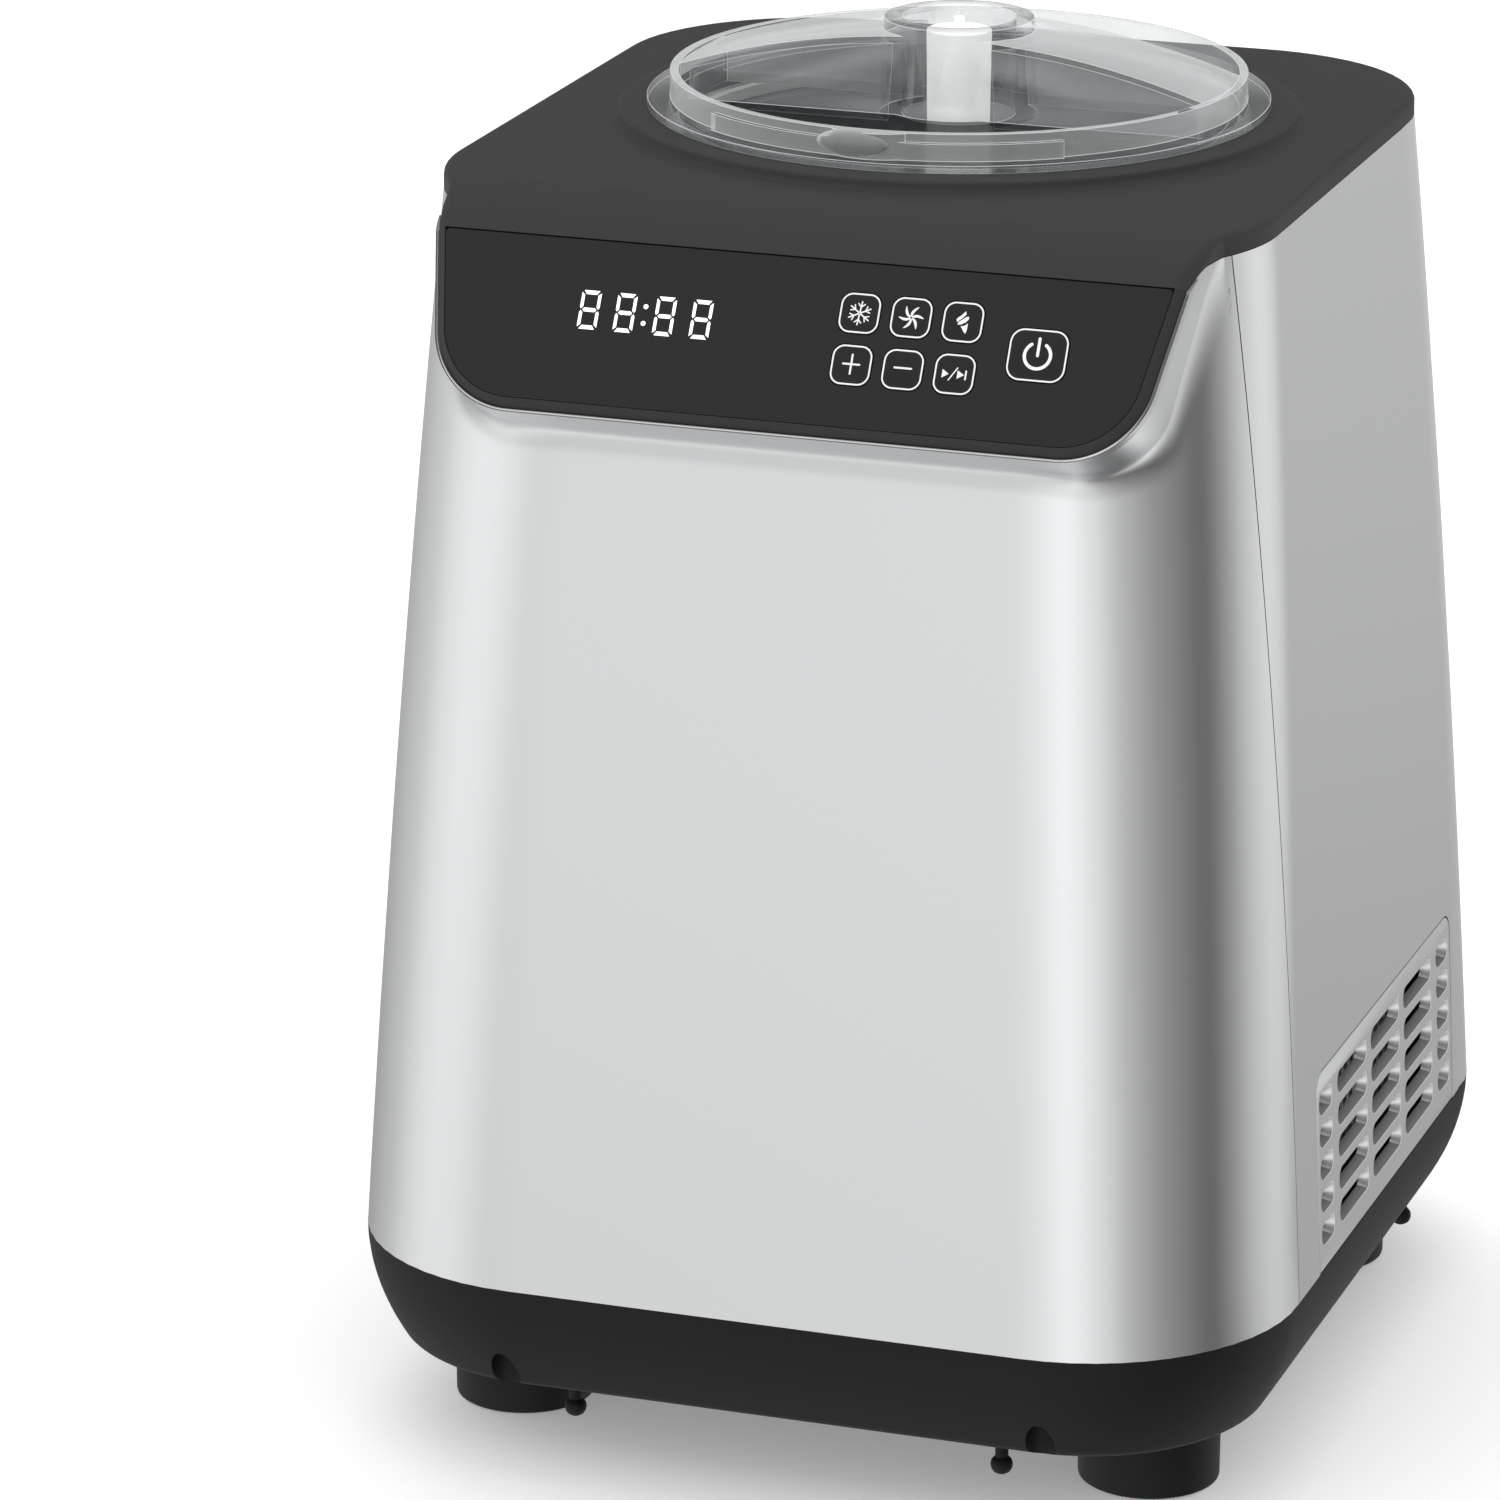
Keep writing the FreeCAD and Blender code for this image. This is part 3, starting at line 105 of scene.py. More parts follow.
def meshPiece(name, points, faces):
    mesh = bpy.data.meshes.new(name)
    mesh.from_pydata([[c / 1000 for c in p] for p in points], [], faces)
    obj = newObject(name, mesh)
    mergeDoubles()
    bpy.ops.mesh.normals_make_consistent(inside=False)
    bpy.ops.object.mode_set(mode="OBJECT")
    return obj


def stripFaces(rows, columns, closed=False):
    faces = []
    last = columns if closed else columns - 1
    for r in range(rows - 1):
        low, high = r * columns, (r + 1) * columns
        for c in range(last):
            d = (c + 1) % columns
            faces.append((low + c, low + d, high + d, high + c))
    return faces


def ringFaces(rings):
    # closed rings joined to a tube with both ends capped
    count = len(rings[0])
    end = (len(rings) - 1) * count
    faces = stripFaces(len(rings), count, closed=True)
    faces += [tuple(range(count)), tuple(range(end, end + count))]
    return [spot for ring in rings for spot in ring], faces


def joinPieces(pieces, name):
    deselectAll()
    for piece in pieces:
        piece.select_set(True)
    bpy.context.view_layer.objects.active = pieces[0]
    bpy.ops.object.join()
    pieces[0].name = name
    return pieces[0]


def applyModifier(obj, kind, **settings):
    makeActive(obj)
    mod = obj.modifiers.new(kind.title(), kind)
    for key, value in settings.items():
        setattr(mod, key, value)
    bpy.ops.object.modifier_apply(modifier=mod.name)


def combine(obj, operation, other):
    applyModifier(obj, "BOOLEAN", operation=operation, object=other, solver="EXACT")
    bpy.data.objects.remove(other)


def finishPiece(obj, body, material, replaced=(), angle=35):
    makeActive(obj)
    bpy.ops.object.transform_apply(location=True, rotation=True, scale=True)
    bpy.ops.object.shade_smooth_by_angle(angle=math.radians(angle))
    obj.data.materials.clear()
    obj.data.materials.append(material)
    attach(obj, body)
    if replaced:
        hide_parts(*replaced)


# materials

def addGrain(tree, shader, size, strength, depth, detail):
    # fine relief, its size and depth in millimetres
    coords = addNode(tree, "ShaderNodeTexCoord")
    noise = addNode(tree, "ShaderNodeTexNoise",
                    {"Vector": coords.outputs["Object"], "Scale": 1000 / size, "Detail": detail})
    bump = addNode(tree, "ShaderNodeBump",
                   {"Height": noise.outputs["Fac"], "Strength": strength, "Distance": depth / 1000})
    tree.links.new(bump.outputs["Normal"], shader.inputs["Normal"])
    return bump


def makeSurface(name, code, grain, strength, depth=0.1, detail=2.0, glow=0.0, **sockets):
    # one colour with a fine grain
    mat, tree, shader = startMaterial(name)
    setSockets(shader, Base_Color=hexLinear(code), **sockets)
    if glow:
        setSockets(shader, Emission_Color=hexLinear(code), Emission_Strength=glow)
    addGrain(tree, shader, grain, strength, depth, detail)
    return mat


def makeClear(name, least, most, power, mirror, tint="#fafbfb"):
    # clear moulded acrylic in thin walls: dark things show through, each wall adds a little haze,
    # from least where it faces the eye to most at a glancing angle; with mirror 1 the haze
    # reflects the room, with 0 it is milky; flow marks of about 15 mm
    mat, tree, shader = startMaterial(name)
    setSockets(shader, Base_Color=hexLinear("#f4f6f7"), Roughness=0.14, IOR=1.49, Metallic=mirror)
    bump = addGrain(tree, shader, size=15.1515, strength=0.05, depth=0.5, detail=1.0)
    sight = addNode(tree, "ShaderNodeLayerWeight", {"Blend": 0.5, "Normal": bump.outputs["Normal"]})
    edge = addNode(tree, "ShaderNodeMath", {0: sight.outputs["Facing"], 1: power},
                   operation="POWER")
    haze = addNode(tree, "ShaderNodeMapRange",
                   {"Value": edge.outputs[0], "To Min": least, "To Max": most})
    through = addNode(tree, "ShaderNodeBsdfTransparent", {"Color": hexLinear(tint)})
    wall = addNode(tree, "ShaderNodeMixShader",
                   {0: haze.outputs[0], 1: through.outputs[0], 2: shader.outputs[0]})
    tree.links.new(wall.outputs[0], tree.nodes["Material Output"].inputs["Surface"])
    return mat


# satin metallic silver paint on ABS: fine flake under a soft clear coat, so broad soft reflections;
# flake of about 0.3 mm, coarser than the real one so that it shows
silverPaint = makeSurface("satinSilverPaint", "#dadbdc", grain=0.30303, strength=0.02, detail=1.0,
                          Metallic=1.0, Roughness=0.26)
# paint inside the slots: painted shade as dull grey on the long walls, a painted highlight at the
# ends
slotShadePaint = makeSurface("slotShadedSilverPaint", "#7c7d7e", grain=0.6, strength=0.05,
                        Roughness=0.45, IOR=1.53)
# painted highlight: the slot ends are brighter than the paint outside them
slotHighlightPaint = makeSurface("slotHighlightSilverPaint", "#fbfbfb", grain=0.6, strength=0.05,
                         Roughness=0.42, Metallic=1.0)
# moulded black ABS with a fine spark-eroded grain: dark, soft-edged highlights; the base is duller
blackTop = makeSurface("mouldedBlackAbs", "#3a3a3b", grain=0.6, strength=0.08,
                       Roughness=0.62, IOR=1.53, Specular_IOR_Level=0.3)
blackBase = makeSurface("mattBlackAbs", "#121213", grain=0.6, strength=0.1,
                        Roughness=0.65, IOR=1.53, Specular_IOR_Level=0.27)
# black ABS from a polished mould: smooth, with a low gloss
blackPanel = makeSurface("smoothBlackPanel", "#272728", grain=0.6, strength=0.02,
                         Roughness=0.38, IOR=1.53)
keyPlastic = makeSurface("smoothBlackKey", "#242425", grain=0.6, strength=0.02,
                         Roughness=0.35, IOR=1.53)
# screen-printed white ink: flat white with a faint tooth and a painted glow; the digits are lit
# from behind
glowPaintedInk = makeSurface("screenPrintedWhiteWithPaintedGlow", "#f2f2f2", grain=0.25, strength=0.05, depth=0.02,
                       detail=1.0, glow=0.25, Roughness=0.5)
displayGlow = makeSurface("litWhiteSegments", "#ffffff", grain=0.25, strength=0.05, depth=0.02,
                          detail=1.0, glow=0.9, Roughness=0.5)
# smooth white polypropylene: slightly waxy and a little translucent, with a painted glow to
# brighten it
glowPaintedWhitePlastic = makeSurface("whitePolypropyleneWithPaintedGlow", "#f3f3f1", grain=1.11111, strength=0.04, glow=0.36,
                           Roughness=0.32, IOR=1.49, Subsurface_Weight=0.05)
clearPlastic = makeClear("clearAcrylic", least=0.09, most=0.8, power=3.5, mirror=1.0)
# painted highlight: the rounded edges are made an almost white milky haze
edgeHighlightAcrylic = makeClear("acrylicPaintedEdgeHighlight", least=0.85, most=1.0, power=1.0, mirror=0.0)
# bridge, bump and grip are textured to hide finger marks; their milky, light haze is also a painted
# sheen
milkySheenAcrylic = makeClear("texturedAcrylicWithPaintedSheen", least=0.26, most=0.72, power=1.6, mirror=0.0)
# the floor is thicker; its grey tint is painted shade that darkens what lies under it
shadeTintedFloorAcrylic = makeClear("shadeTintedAcrylic", least=0.03, most=0.24, power=3.5, mirror=1.0,
                         tint="#858788")
print("materials made")


# the tapered body: at the base as its solids, at the top a little rounder and narrower

bodyForm = {
    "baseTop": 46.3, "bodyTop": 287.9, "baseHalf": 110.25, "baseDepth": 124.5, "baseCorner": 49.6,
    "topHalf": 95.5, "topFront": 103.0, "topBack": 102.0, "topCorner": 46.0, "bow": 1.15,
    "seamLow": -72.7, "seamHigh": -77.1, "seamGap": 0.3, "skin": 0.7,
}


def bodySizes(z):
    b = bodyForm
    t = (z - b["baseTop"]) / (b["bodyTop"] - b["baseTop"])
    bulge = 4 * t * (1 - t) * b["bow"] if t < 1 else 0
    half = mix(b["baseHalf"], b["topHalf"], t) + bulge
    front = mix(b["baseDepth"], b["topFront"], t) + bulge
    back = mix(b["baseDepth"], b["topBack"], t) + bulge
    return half, front, back, mix(b["baseCorner"], b["topCorner"], t) + bulge


def bodyPoint(s, z):
    # s runs round the right half: 0 front middle, 1 to 2 front corner, 2 to 3 side
    half, front, back, r = bodySizes(z)
    if s <= 1:
        return s * (half - r), -front, z
    if s <= 2:
        a = (s - 1) * math.pi / 2
        return half - r + r * math.sin(a), -front + r - r * math.cos(a), z
    return half, mix(-front + r, back - r, s - 2), z


def bodyParam(x, y, z):
    # the s of a point
    half, front, back, r = bodySizes(z)
    if y < -front + r:
        if x <= half - r:
            return x / (half - r)
        return 1 + math.atan2(x - half + r, -front + r - y) / (math.pi / 2)
    return 2 + (y + front - r) / (front + back - 2 * r)


def seamAt(z):
    b = bodyForm
    return mix(b["seamLow"], b["seamHigh"], (z - b["baseTop"]) / (b["bodyTop"] - b["baseTop"]))


def seamParam(z):
    # the s of the front shell's edge at the seam
    half, front, back, r = bodySizes(z)
    y = seamAt(z) - bodyForm["seamGap"] / 2
    if y < -front + r:
        return 2 - math.asin(min(1, (-front + r - y) / r)) / (math.pi / 2)
    return 2 + (y + front - r) / (front + back - 2 * r)


def bodyReach(x, y, z):
    # how far a point lies outside the body's section at its height
    half, front, back, r = bodySizes(z)
    middle = (back - front) / 2
    dx = abs(x) - (half - r)
    dy = abs(y - middle) - ((front + back) / 2 - r)
    return math.hypot(max(dx, 0), max(dy, 0)) + min(max(dx, dy), 0) - r


# the tilted panel's own plane: across, down, out

panelForm = {
    "front": 99.0, "level": 285.5, "tilt": 30.0, "height": 39.2, "halfTop": 85.4, "shift": 1.2,
    "splay": 0.174, "corner": 19.5, "edge": 1.8, "bevel": 2.0, "thick": 3.2, "gap": 0.18,
    "steps": (10, 24, 6),   # along the foot, round the corner, up the side
    "skinSpan": (-70.0, 15.0),   # the body's skin lies between these heights over the plane
    # flat face inside the bezel: gap, top edge, top corners, growth and height of its rounded edge
    "faceGap": 0.12, "faceTop": 0.38, "faceCorner": 0.9, "faceSteps": 5,
    "faceEdge": ((0.0, -0.15), (-0.05, -0.03), (-0.15, 0.0)),
}
panelSin = math.sin(math.radians(panelForm["tilt"]))
panelCos = math.cos(math.radians(panelForm["tilt"]))


def panelPoint(across, down, out):
    y = -panelForm["front"] - down * panelSin - out * panelCos
    z = panelForm["level"] - down * panelCos + out * panelSin
    return across, y, z


def panelOutline(side, grow, low, bottomSteps, arcSteps, sideSteps):
    # one half, from the bottom middle round the corner and up the side to low;
    # a negative low is above the panel
    p = panelForm
    lean = math.hypot(1, p["splay"])
    half = p["halfTop"] + side * p["shift"] + grow * lean
    bottom = p["height"] + grow
    r = p["corner"] + grow
    centerX = half - p["splay"] * (bottom - r) - r * lean
    centerDown = bottom - r
    tip = math.atan(p["splay"])
    stations = []
    for i in range(bottomSteps):
        stations.append((centerX * i / bottomSteps, bottom, 0.0, 1.0))
    for i in range(arcSteps + 1):
        a = (math.pi / 2 - tip) * i / arcSteps
        nx, ny = math.sin(a), math.cos(a)
        stations.append((centerX + r * nx, centerDown + r * ny, nx, ny))
    startX, startDown, nx, ny = stations[-1]
    for i in range(1, sideSteps + 1):
        down = mix(startDown, low, i / sideSteps)
        stations.append((startX + p["splay"] * (startDown - down), down, nx, ny))
    return stations


def panelOffset(spot):
    # how far a point lies outside the line of the panel's side edge
    p = panelForm
    down = -(spot[1] + p["front"]) * panelSin + (p["level"] - spot[2]) * panelCos
    lean = math.hypot(1, p["splay"])
    half = p["halfTop"] + math.copysign(p["shift"], spot[0])
    return (abs(spot[0]) - half + p["splay"] * down) / lean - p["gap"]


def boundary(low, high, holds, halvings=40):
    # the place between low and high up to which holds stays true
    for i in range(halvings):
        middle = (low + high) / 2
        if holds(middle):
            low = middle
        else:
            high = middle
    return low


def bodyDepth(across, down):
    # height of the body's skin over the panel's plane
    return boundary(*panelForm["skinSpan"],
                    lambda out: bodyReach(*panelPoint(across, down, out)) <= 0)


# front shell: lip round the panel, flank, soft fold and body in one skin

foldForm = {
    # the lip is widest under the panel and thin beside it
    "lip": 0.62, "lipOut": -1.6, "sideLip": 0.2, "sideOut": -1.9, "footFrom": 0.2, "footSpan": 0.5,
    "inRound": 0.06, "inDepth": 2.5, "inSteps": 4, "lipSteps": 8, "flare": 0.03, "flankMost": 40.0,
    # the fold's length back on the flank and out on the body, and the pull of its handles
    "fold": 4.6, "sideFold": 3.0, "foldLeast": 2.4, "share": 0.8, "outLeast": 0.4, "shrink": 0.9,
    "handles": (0.35, 0.65), "nearShare": 0.9, "foldSteps": 10, "seamClear": 2.0,
    "steps": (18, 28, 24),   # along the foot, round the corner, up the side
    "above": -17.0, "aboveTop": 9.0, "bodyRows": 22, "rowEase": 0.35,
    # round cut at the front of each flank's top edge
    "cornerDown": 0.6, "cornerMiddle": (-94.0, 286.9), "cornerBack": -88.5, "cornerCuts": 6,
    "tangent": 0.01, "cutNear": 0.001, "lipNear": 0.02,
}


def bezier(points, t):
    while len(points) > 1:
        points = [tuple(mix(a, b, t) for a, b in zip(p, q)) for p, q in zip(points, points[1:])]
    return points[0]


def foldProfile(station):
    # offset from the outline and depth, from inside the lip to the end of the fold on the body
    f = foldForm
    x, down, nx, ny = station

    def onBody(offset):
        return offset, bodyDepth(x + nx * offset, down + ny * offset)

    def behindSeam(offset):
        spot = panelPoint(0, down + ny * offset, onBody(offset)[1])
        return spot[1] > seamAt(spot[2]) - f["seamClear"]

    foot = smooth((ny - f["footFrom"]) / f["footSpan"])
    lip = mix(f["sideLip"], f["lip"], foot)
    top = mix(f["sideOut"], f["lipOut"], foot)
    r = f["inRound"]
    profile = [(0.0, top - f["inDepth"]), (0.0, top - r)]
    for i in range(1, f["inSteps"]):
        a = math.pi / 2 * i / f["inSteps"]
        profile.append((r - r * math.cos(a), top - r + r * math.sin(a)))
    profile.append((r, top))
    r = lip - f["inRound"]
    for i in range(1, f["lipSteps"]):
        a = math.pi / 2 * i / f["lipSteps"]
        profile.append((lip - r + r * math.sin(a), top - r + r * math.cos(a)))
    start = (lip, top - r)
    profile.append(start)
    # the flank runs down until it meets the body
    run = boundary(0.0, f["flankMost"], halvings=30,
                   holds=lambda run: onBody(start[0] + run * f["flare"])[1] < start[1] - run)
    corner = (start[0] + run * f["flare"], start[1] - run)
    back = min(mix(f["sideFold"], f["fold"], foot), f["share"] * run)
    out = max(back, f["foldLeast"])
    begin = (corner[0] - back * f["flare"], corner[1] + back)
    while out > f["outLeast"] and behindSeam(corner[0] + out):
        out *= f["shrink"]
    end = onBody(corner[0] + out)
    near = onBody(corner[0] + out * f["nearShare"])
    slope = (end[1] - near[1]) / (out * (1 - f["nearShare"]))
    early, late = f["handles"]
    handles = [begin, (corner[0] - early * back * f["flare"], corner[1] + early * back),
               (end[0] - late * out, end[1] - late * out * slope), end]
    return profile + [bezier(handles, i / f["foldSteps"]) for i in range(f["foldSteps"] + 1)]


def shellLines(side):
    f = foldForm
    b = bodyForm
    stations = panelOutline(side, panelForm["gap"], f["above"], *f["steps"])
    foot = f["steps"][0]
    turn = foot + f["steps"][1] // 2   # lines after this one end on the seam
    last = len(stations) - 1
    lines = []
    for i, station in enumerate(stations):
        rimZ = b["baseTop"]
        if i <= foot:
            rimS = i / foot
        elif i <= turn:
            rimS = mix(1, seamParam(rimZ), (i - foot) / (turn - foot))
        else:
            rimZ = mix(b["baseTop"], b["bodyTop"] + f["aboveTop"], (i - turn) / (last - turn))
            rimS = seamParam(rimZ)
        x, down, nx, ny = station
        line = [panelPoint(x + nx * o, down + ny * o, w) for o, w in foldProfile(station)]
        startZ = line[-1][2]
        startS = bodyParam(*line[-1])
        for k in range(1, f["bodyRows"] + 1):
            t = k / f["bodyRows"]
            t *= mix(f["rowEase"], 1.0, t)
            line.append(bodyPoint(mix(startS, rimS, t), mix(startZ, rimZ, t)))
        lines.append([(side * px, py, pz) for px, py, pz in line])
    return lines


def makeFrontShell():
    f = foldForm
    b = bodyForm
    lines = shellLines(-1)[:0:-1] + shellLines(1)
    points = [p for line in lines for p in line]
    shell = meshPiece("frontShellSkin", points, stripFaces(len(lines), len(lines[0])))
    # the top edge, with the front corner of each flank cut round
    curve = [panelPoint(0, f["cornerDown"], f["sideOut"])[1:], f["cornerMiddle"],
             (f["cornerBack"], b["bodyTop"])]
    cuts = [(Vector((0, *curve[-1])), Vector((0, 0, 1)))]
    for i in range(f["cornerCuts"]):
        t = (i + 0.5) / f["cornerCuts"]
        near = [Vector((0, *bezier(curve, t + d))) for d in (-f["tangent"], 0, f["tangent"])]
        along = near[2] - near[0]
        cuts.append((near[1], Vector((0, -along.z, along.y)).normalized()))
    makeActive(shell)
    bpy.ops.object.mode_set(mode="EDIT")
    for place, normal in cuts:
        bpy.ops.mesh.select_all(action="SELECT")
        bpy.ops.mesh.bisect(plane_co=place / 1000, plane_no=normal, clear_outer=True)
    bpy.ops.object.mode_set(mode="OBJECT")
    # the cut edge is kept for the cover, which stands on it
    edges = {1: [], -1: []}
    for vertex in shell.data.vertices:
        spot = vertex.co * 1000
        onCut = any(abs((spot - place).dot(normal)) < f["cutNear"] for place, normal in cuts)
        if onCut and panelOffset(spot) > f["sideLip"] - f["lipNear"]:
            edges[1 if spot.x > 0 else -1].append((abs(spot.x), spot.y, spot.z))
    for edge in edges.values():
        edge.sort(key=lambda spot: spot[1])
    applyModifier(shell, "SOLIDIFY", thickness=b["skin"] / 1000, offset=-1)
    finishPiece(shell, "housing", silverPaint, ["front_shell"])
    return edges


noseEdges = makeFrontShell()
print("front shell made")

# rear shell, a grid of columns round the back with the two vent windows left open

rearForm = {
    "ventLow": -54.8, "ventHigh": 67.0, "ventTop": 93.8, "ventCorner": 5.3, "arcSteps": 5,
    "seamColumns": 8, "frontColumns": 3, "windowColumns": 10, "cornerColumns": 16, "backColumns": 8,
    "cornerEnd": -62.0, "lowRows": (60.0, 74.0), "rows": 18, "wall": 2.0, "backClear": 0.01,
}


def bodyAtY(y, z):
    half, front, back, r = bodySizes(z)
    if y > back - r:
        return half - r + math.sqrt(max(0.0, r * r - (y - back + r) ** 2))
    if y < -front + r:
        return half - r + math.sqrt(max(0.0, r * r - (y + front - r) ** 2))
    return half


def makeRearShell():
    f = rearForm
    b = bodyForm
    r = f["ventCorner"]
    steps = f["frontColumns"]
    sideYs = [mix(f["cornerEnd"], f["ventLow"], i / steps) for i in range(steps)]
    windowFirst = f["seamColumns"] + len(sideYs)
    steps = f["windowColumns"]
    inner = [mix(f["ventLow"] + r, f["ventHigh"] - r, i / steps) for i in range(steps + 1)]
    sideYs += [f["ventLow"], *inner, f["ventHigh"]]
    windowLast = f["seamColumns"] + len(sideYs) - 1
    lowZs = [b["baseTop"], *f["lowRows"], f["ventTop"] - r, f["ventTop"]]
    windowRows = len(lowZs) - 1
    zs = lowZs + [mix(f["ventTop"], b["bodyTop"], i / f["rows"]) for i in range(1, f["rows"] + 1)]
    rows = []
    for z in zs:
        half, front, back, corner = bodySizes(z)
        seamY = seamAt(z) + b["seamGap"] / 2
        steps = f["seamColumns"]
        seamYs = [mix(seamY, f["cornerEnd"], i / steps) for i in range(steps)]
        right = [(bodyAtY(y, z), y, z) for y in seamYs + sideYs]
        start = math.asin(max(0.0, min(1.0, (f["ventHigh"] - back + corner) / corner)))
        for i in range(1, f["cornerColumns"] + 1):
            a = mix(start, math.pi / 2, i / f["cornerColumns"])
            x, y = half - corner + corner * math.cos(a), back - corner + corner * math.sin(a)
            right.append((x, max(y, f["ventHigh"] + f["backClear"]), z))
        for i in range(1, f["backColumns"] + 1):
            right.append(((half - corner) * (1 - i / f["backColumns"]), back, z))
        rows.append(right + [(-x, y, z) for x, y, z in reversed(right[:-1])])
    columns = len(rows[0])
    points = [p for row in rows for p in row]
    strips = columns - 1
    holes = set()
    for row in range(windowRows):
        for column in range(windowFirst, windowLast):
            holes |= {(row, column), (row, strips - column - 1)}
    grid = stripFaces(len(rows), columns)
    faces = [face for i, face in enumerate(grid) if divmod(i, strips) not in holes]
    # fillets in the windows' upper corners
    for side in (1, -1):
        for y, turn in ((f["ventLow"], -1), (f["ventHigh"], 1)):
            arc = []
            for i in range(f["arcSteps"] + 1):
                a = math.pi / 2 * i / f["arcSteps"]
                arcY = y - turn * r + turn * r * math.cos(a)
                arcZ = f["ventTop"] - r + r * math.sin(a)
                arc.append((side * bodyAtY(arcY, arcZ), arcY, arcZ))
            points.append((side * bodyAtY(y, f["ventTop"]), y, f["ventTop"]))
            apex = len(points) - 1
            points.extend(arc)
            for i in range(f["arcSteps"]):
                faces.append((apex, apex + 1 + i, apex + 2 + i))
    shell = meshPiece("rearShellSkin", points, faces)
    applyModifier(shell, "SOLIDIFY", thickness=f["wall"] / 1000, offset=-1)
    finishPiece(shell, "housing", silverPaint, ["rear_shell"])


makeRearShell()
print("rear shell made")

# flat plates drawn as filled curves with rounded edges, then made a mesh

def curvePlate(name, loops, depth, rounding, place):
    curve = bpy.data.curves.new(name, "CURVE")
    curve.dimensions = "2D"
    curve.fill_mode = "BOTH"
    curve.extrude = depth / 2 - rounding
    curve.bevel_depth = rounding
    curve.bevel_resolution = 2
    curve.offset = -rounding
    for loop in loops:
        spline = curve.splines.new("POLY")
        spline.points.add(len(loop) - 1)
        for point, (x, y) in zip(spline.points, loop):
            point.co = (x, y, 0, 1)
        spline.use_cyclic_u = True
    newObject(name, curve)
    bpy.ops.object.convert(target="MESH")
    obj = bpy.context.object
    obj.data.transform(place @ Matrix.Translation((0, 0, -depth / 2)))
    obj.data.transform(Matrix.Diagonal((0.001, 0.001, 0.001, 1)))
    mergeDoubles(0.000002)
    bpy.ops.object.mode_set(mode="OBJECT")
    return obj


def arcPoints(x, y, r, start, end, steps):
    turns = [math.radians(mix(start, end, i / steps)) for i in range(steps + 1)]
    return [(x + r * math.cos(a), y + r * math.sin(a)) for a in turns]


def roundedLoop(x0, x1, y0, y1, r, steps):
    corners = ((x1 - r, y1 - r), (x0 + r, y1 - r), (x0 + r, y0 + r), (x1 - r, y0 + r))
    loop = []
    for i, (x, y) in enumerate(corners):
        loop += arcPoints(x, y, r, 90 * i, 90 * i + 90, steps)
    return loop


# vent panels: five rows of long and short slots that narrow inwards

ventForm = {
    "middle": 6.1, "half": 60.6, "low": 0.2, "height": 47.2, "corner": 5.0, "cornerSteps": 6,
    "wall": 2.5, "rounding": 0.2, "run": 60.4,
    "slot": 5.2, "long": 25.5, "short": 10.8, "rows": 5, "rowPitch": 7.8, "firstRow": 8.3,
    "longPitch": 29.7, "shortOffset": 52.9, "slotArc": 10,
    # growth of a slot's outline at each depth, from outside the face to behind the wall
    "slotSteps": ((0.28, 1.0), (0.28, 0.0), (0.1, -0.06), (0.0, -0.24), (-0.55, -2.5),
                  (-0.55, -4.0)),
    # which faces are walls of slots, and which of those are ends
    "margin": 1.0, "wallShare": 0.6, "endShare": 0.4,
}


def slotCutter(middle, level, length, place):
    f = ventForm
    r = f["slot"] / 2
    reach = length / 2 - r
    rings = []
    for grow, out in f["slotSteps"]:
        loop = arcPoints(middle + reach, level, r + grow, -90, 90, f["slotArc"])
        loop += arcPoints(middle - reach, level, r + grow, 90, 270, f["slotArc"])
        rings.append([tuple(place @ Vector((x, y, out))) for x, y in loop])
    return meshPiece("slotCutter", *ringFaces(rings))


def makeVentPanel(side, name, node):
    f = ventForm
    r = f["corner"]
    low = bodySizes(bodyForm["baseTop"])[0]
    high = bodySizes(bodyForm["baseTop"] + f["run"])[0]
    lean = math.atan2(low - high, f["run"])
    outline = [(-f["half"], f["low"]), (f["half"], f["low"])]
    outline += arcPoints(f["half"] - r, f["height"] - r, r, 0, 90, f["cornerSteps"])
    outline += arcPoints(-f["half"] + r, f["height"] - r, r, 90, 180, f["cornerSteps"])
    along = Vector((0, side, 0))
    up = Vector((-side * math.sin(lean), 0, math.cos(lean)))
    out = along.cross(up)
    turn = Matrix((along, up, out)).transposed().to_4x4()
    place = Matrix.Translation((side * low, f["middle"], bodyForm["baseTop"])) @ turn
    panel = curvePlate(name, [outline], f["wall"], f["rounding"], place)
    columns = [(i * f["longPitch"], f["long"]) for i in (-1, 0, 1)]
    columns += [(i * f["shortOffset"], f["short"]) for i in (-1, 1)]
    cutters = []
    for row in range(f["rows"]):
        level = f["firstRow"] + row * f["rowPitch"]
        cutters += [slotCutter(middle, level, length, place) for middle, length in columns]
    combine(panel, "DIFFERENCE", joinPieces(cutters, "slotCutters"))
    finishPiece(panel, "housing", silverPaint, [node], angle=25)
    # inside the slots: painted shade on the long walls and a painted highlight on the ends
    panel.data.materials.append(slotShadePaint)
    panel.data.materials.append(slotHighlightPaint)
    for face in panel.data.polygons:
        spot = place.inverted() @ (face.center * 1000)
        inside = (abs(spot.x) < f["half"] - f["margin"]
                  and f["margin"] < spot.y < f["height"] - f["margin"])
        if inside and abs(face.normal.dot(out)) < f["wallShare"]:
            face.material_index = 1 if abs(face.normal.dot(along)) < f["endShare"] else 2


makeVentPanel(1, "ventGrilleRight", "vent_panel_right")
makeVentPanel(-1, "ventGrilleLeft", "vent_panel_left")
print("vent panels made")

# black top cover: apron, side wall, flat top and raised collar in one skin of radial lines

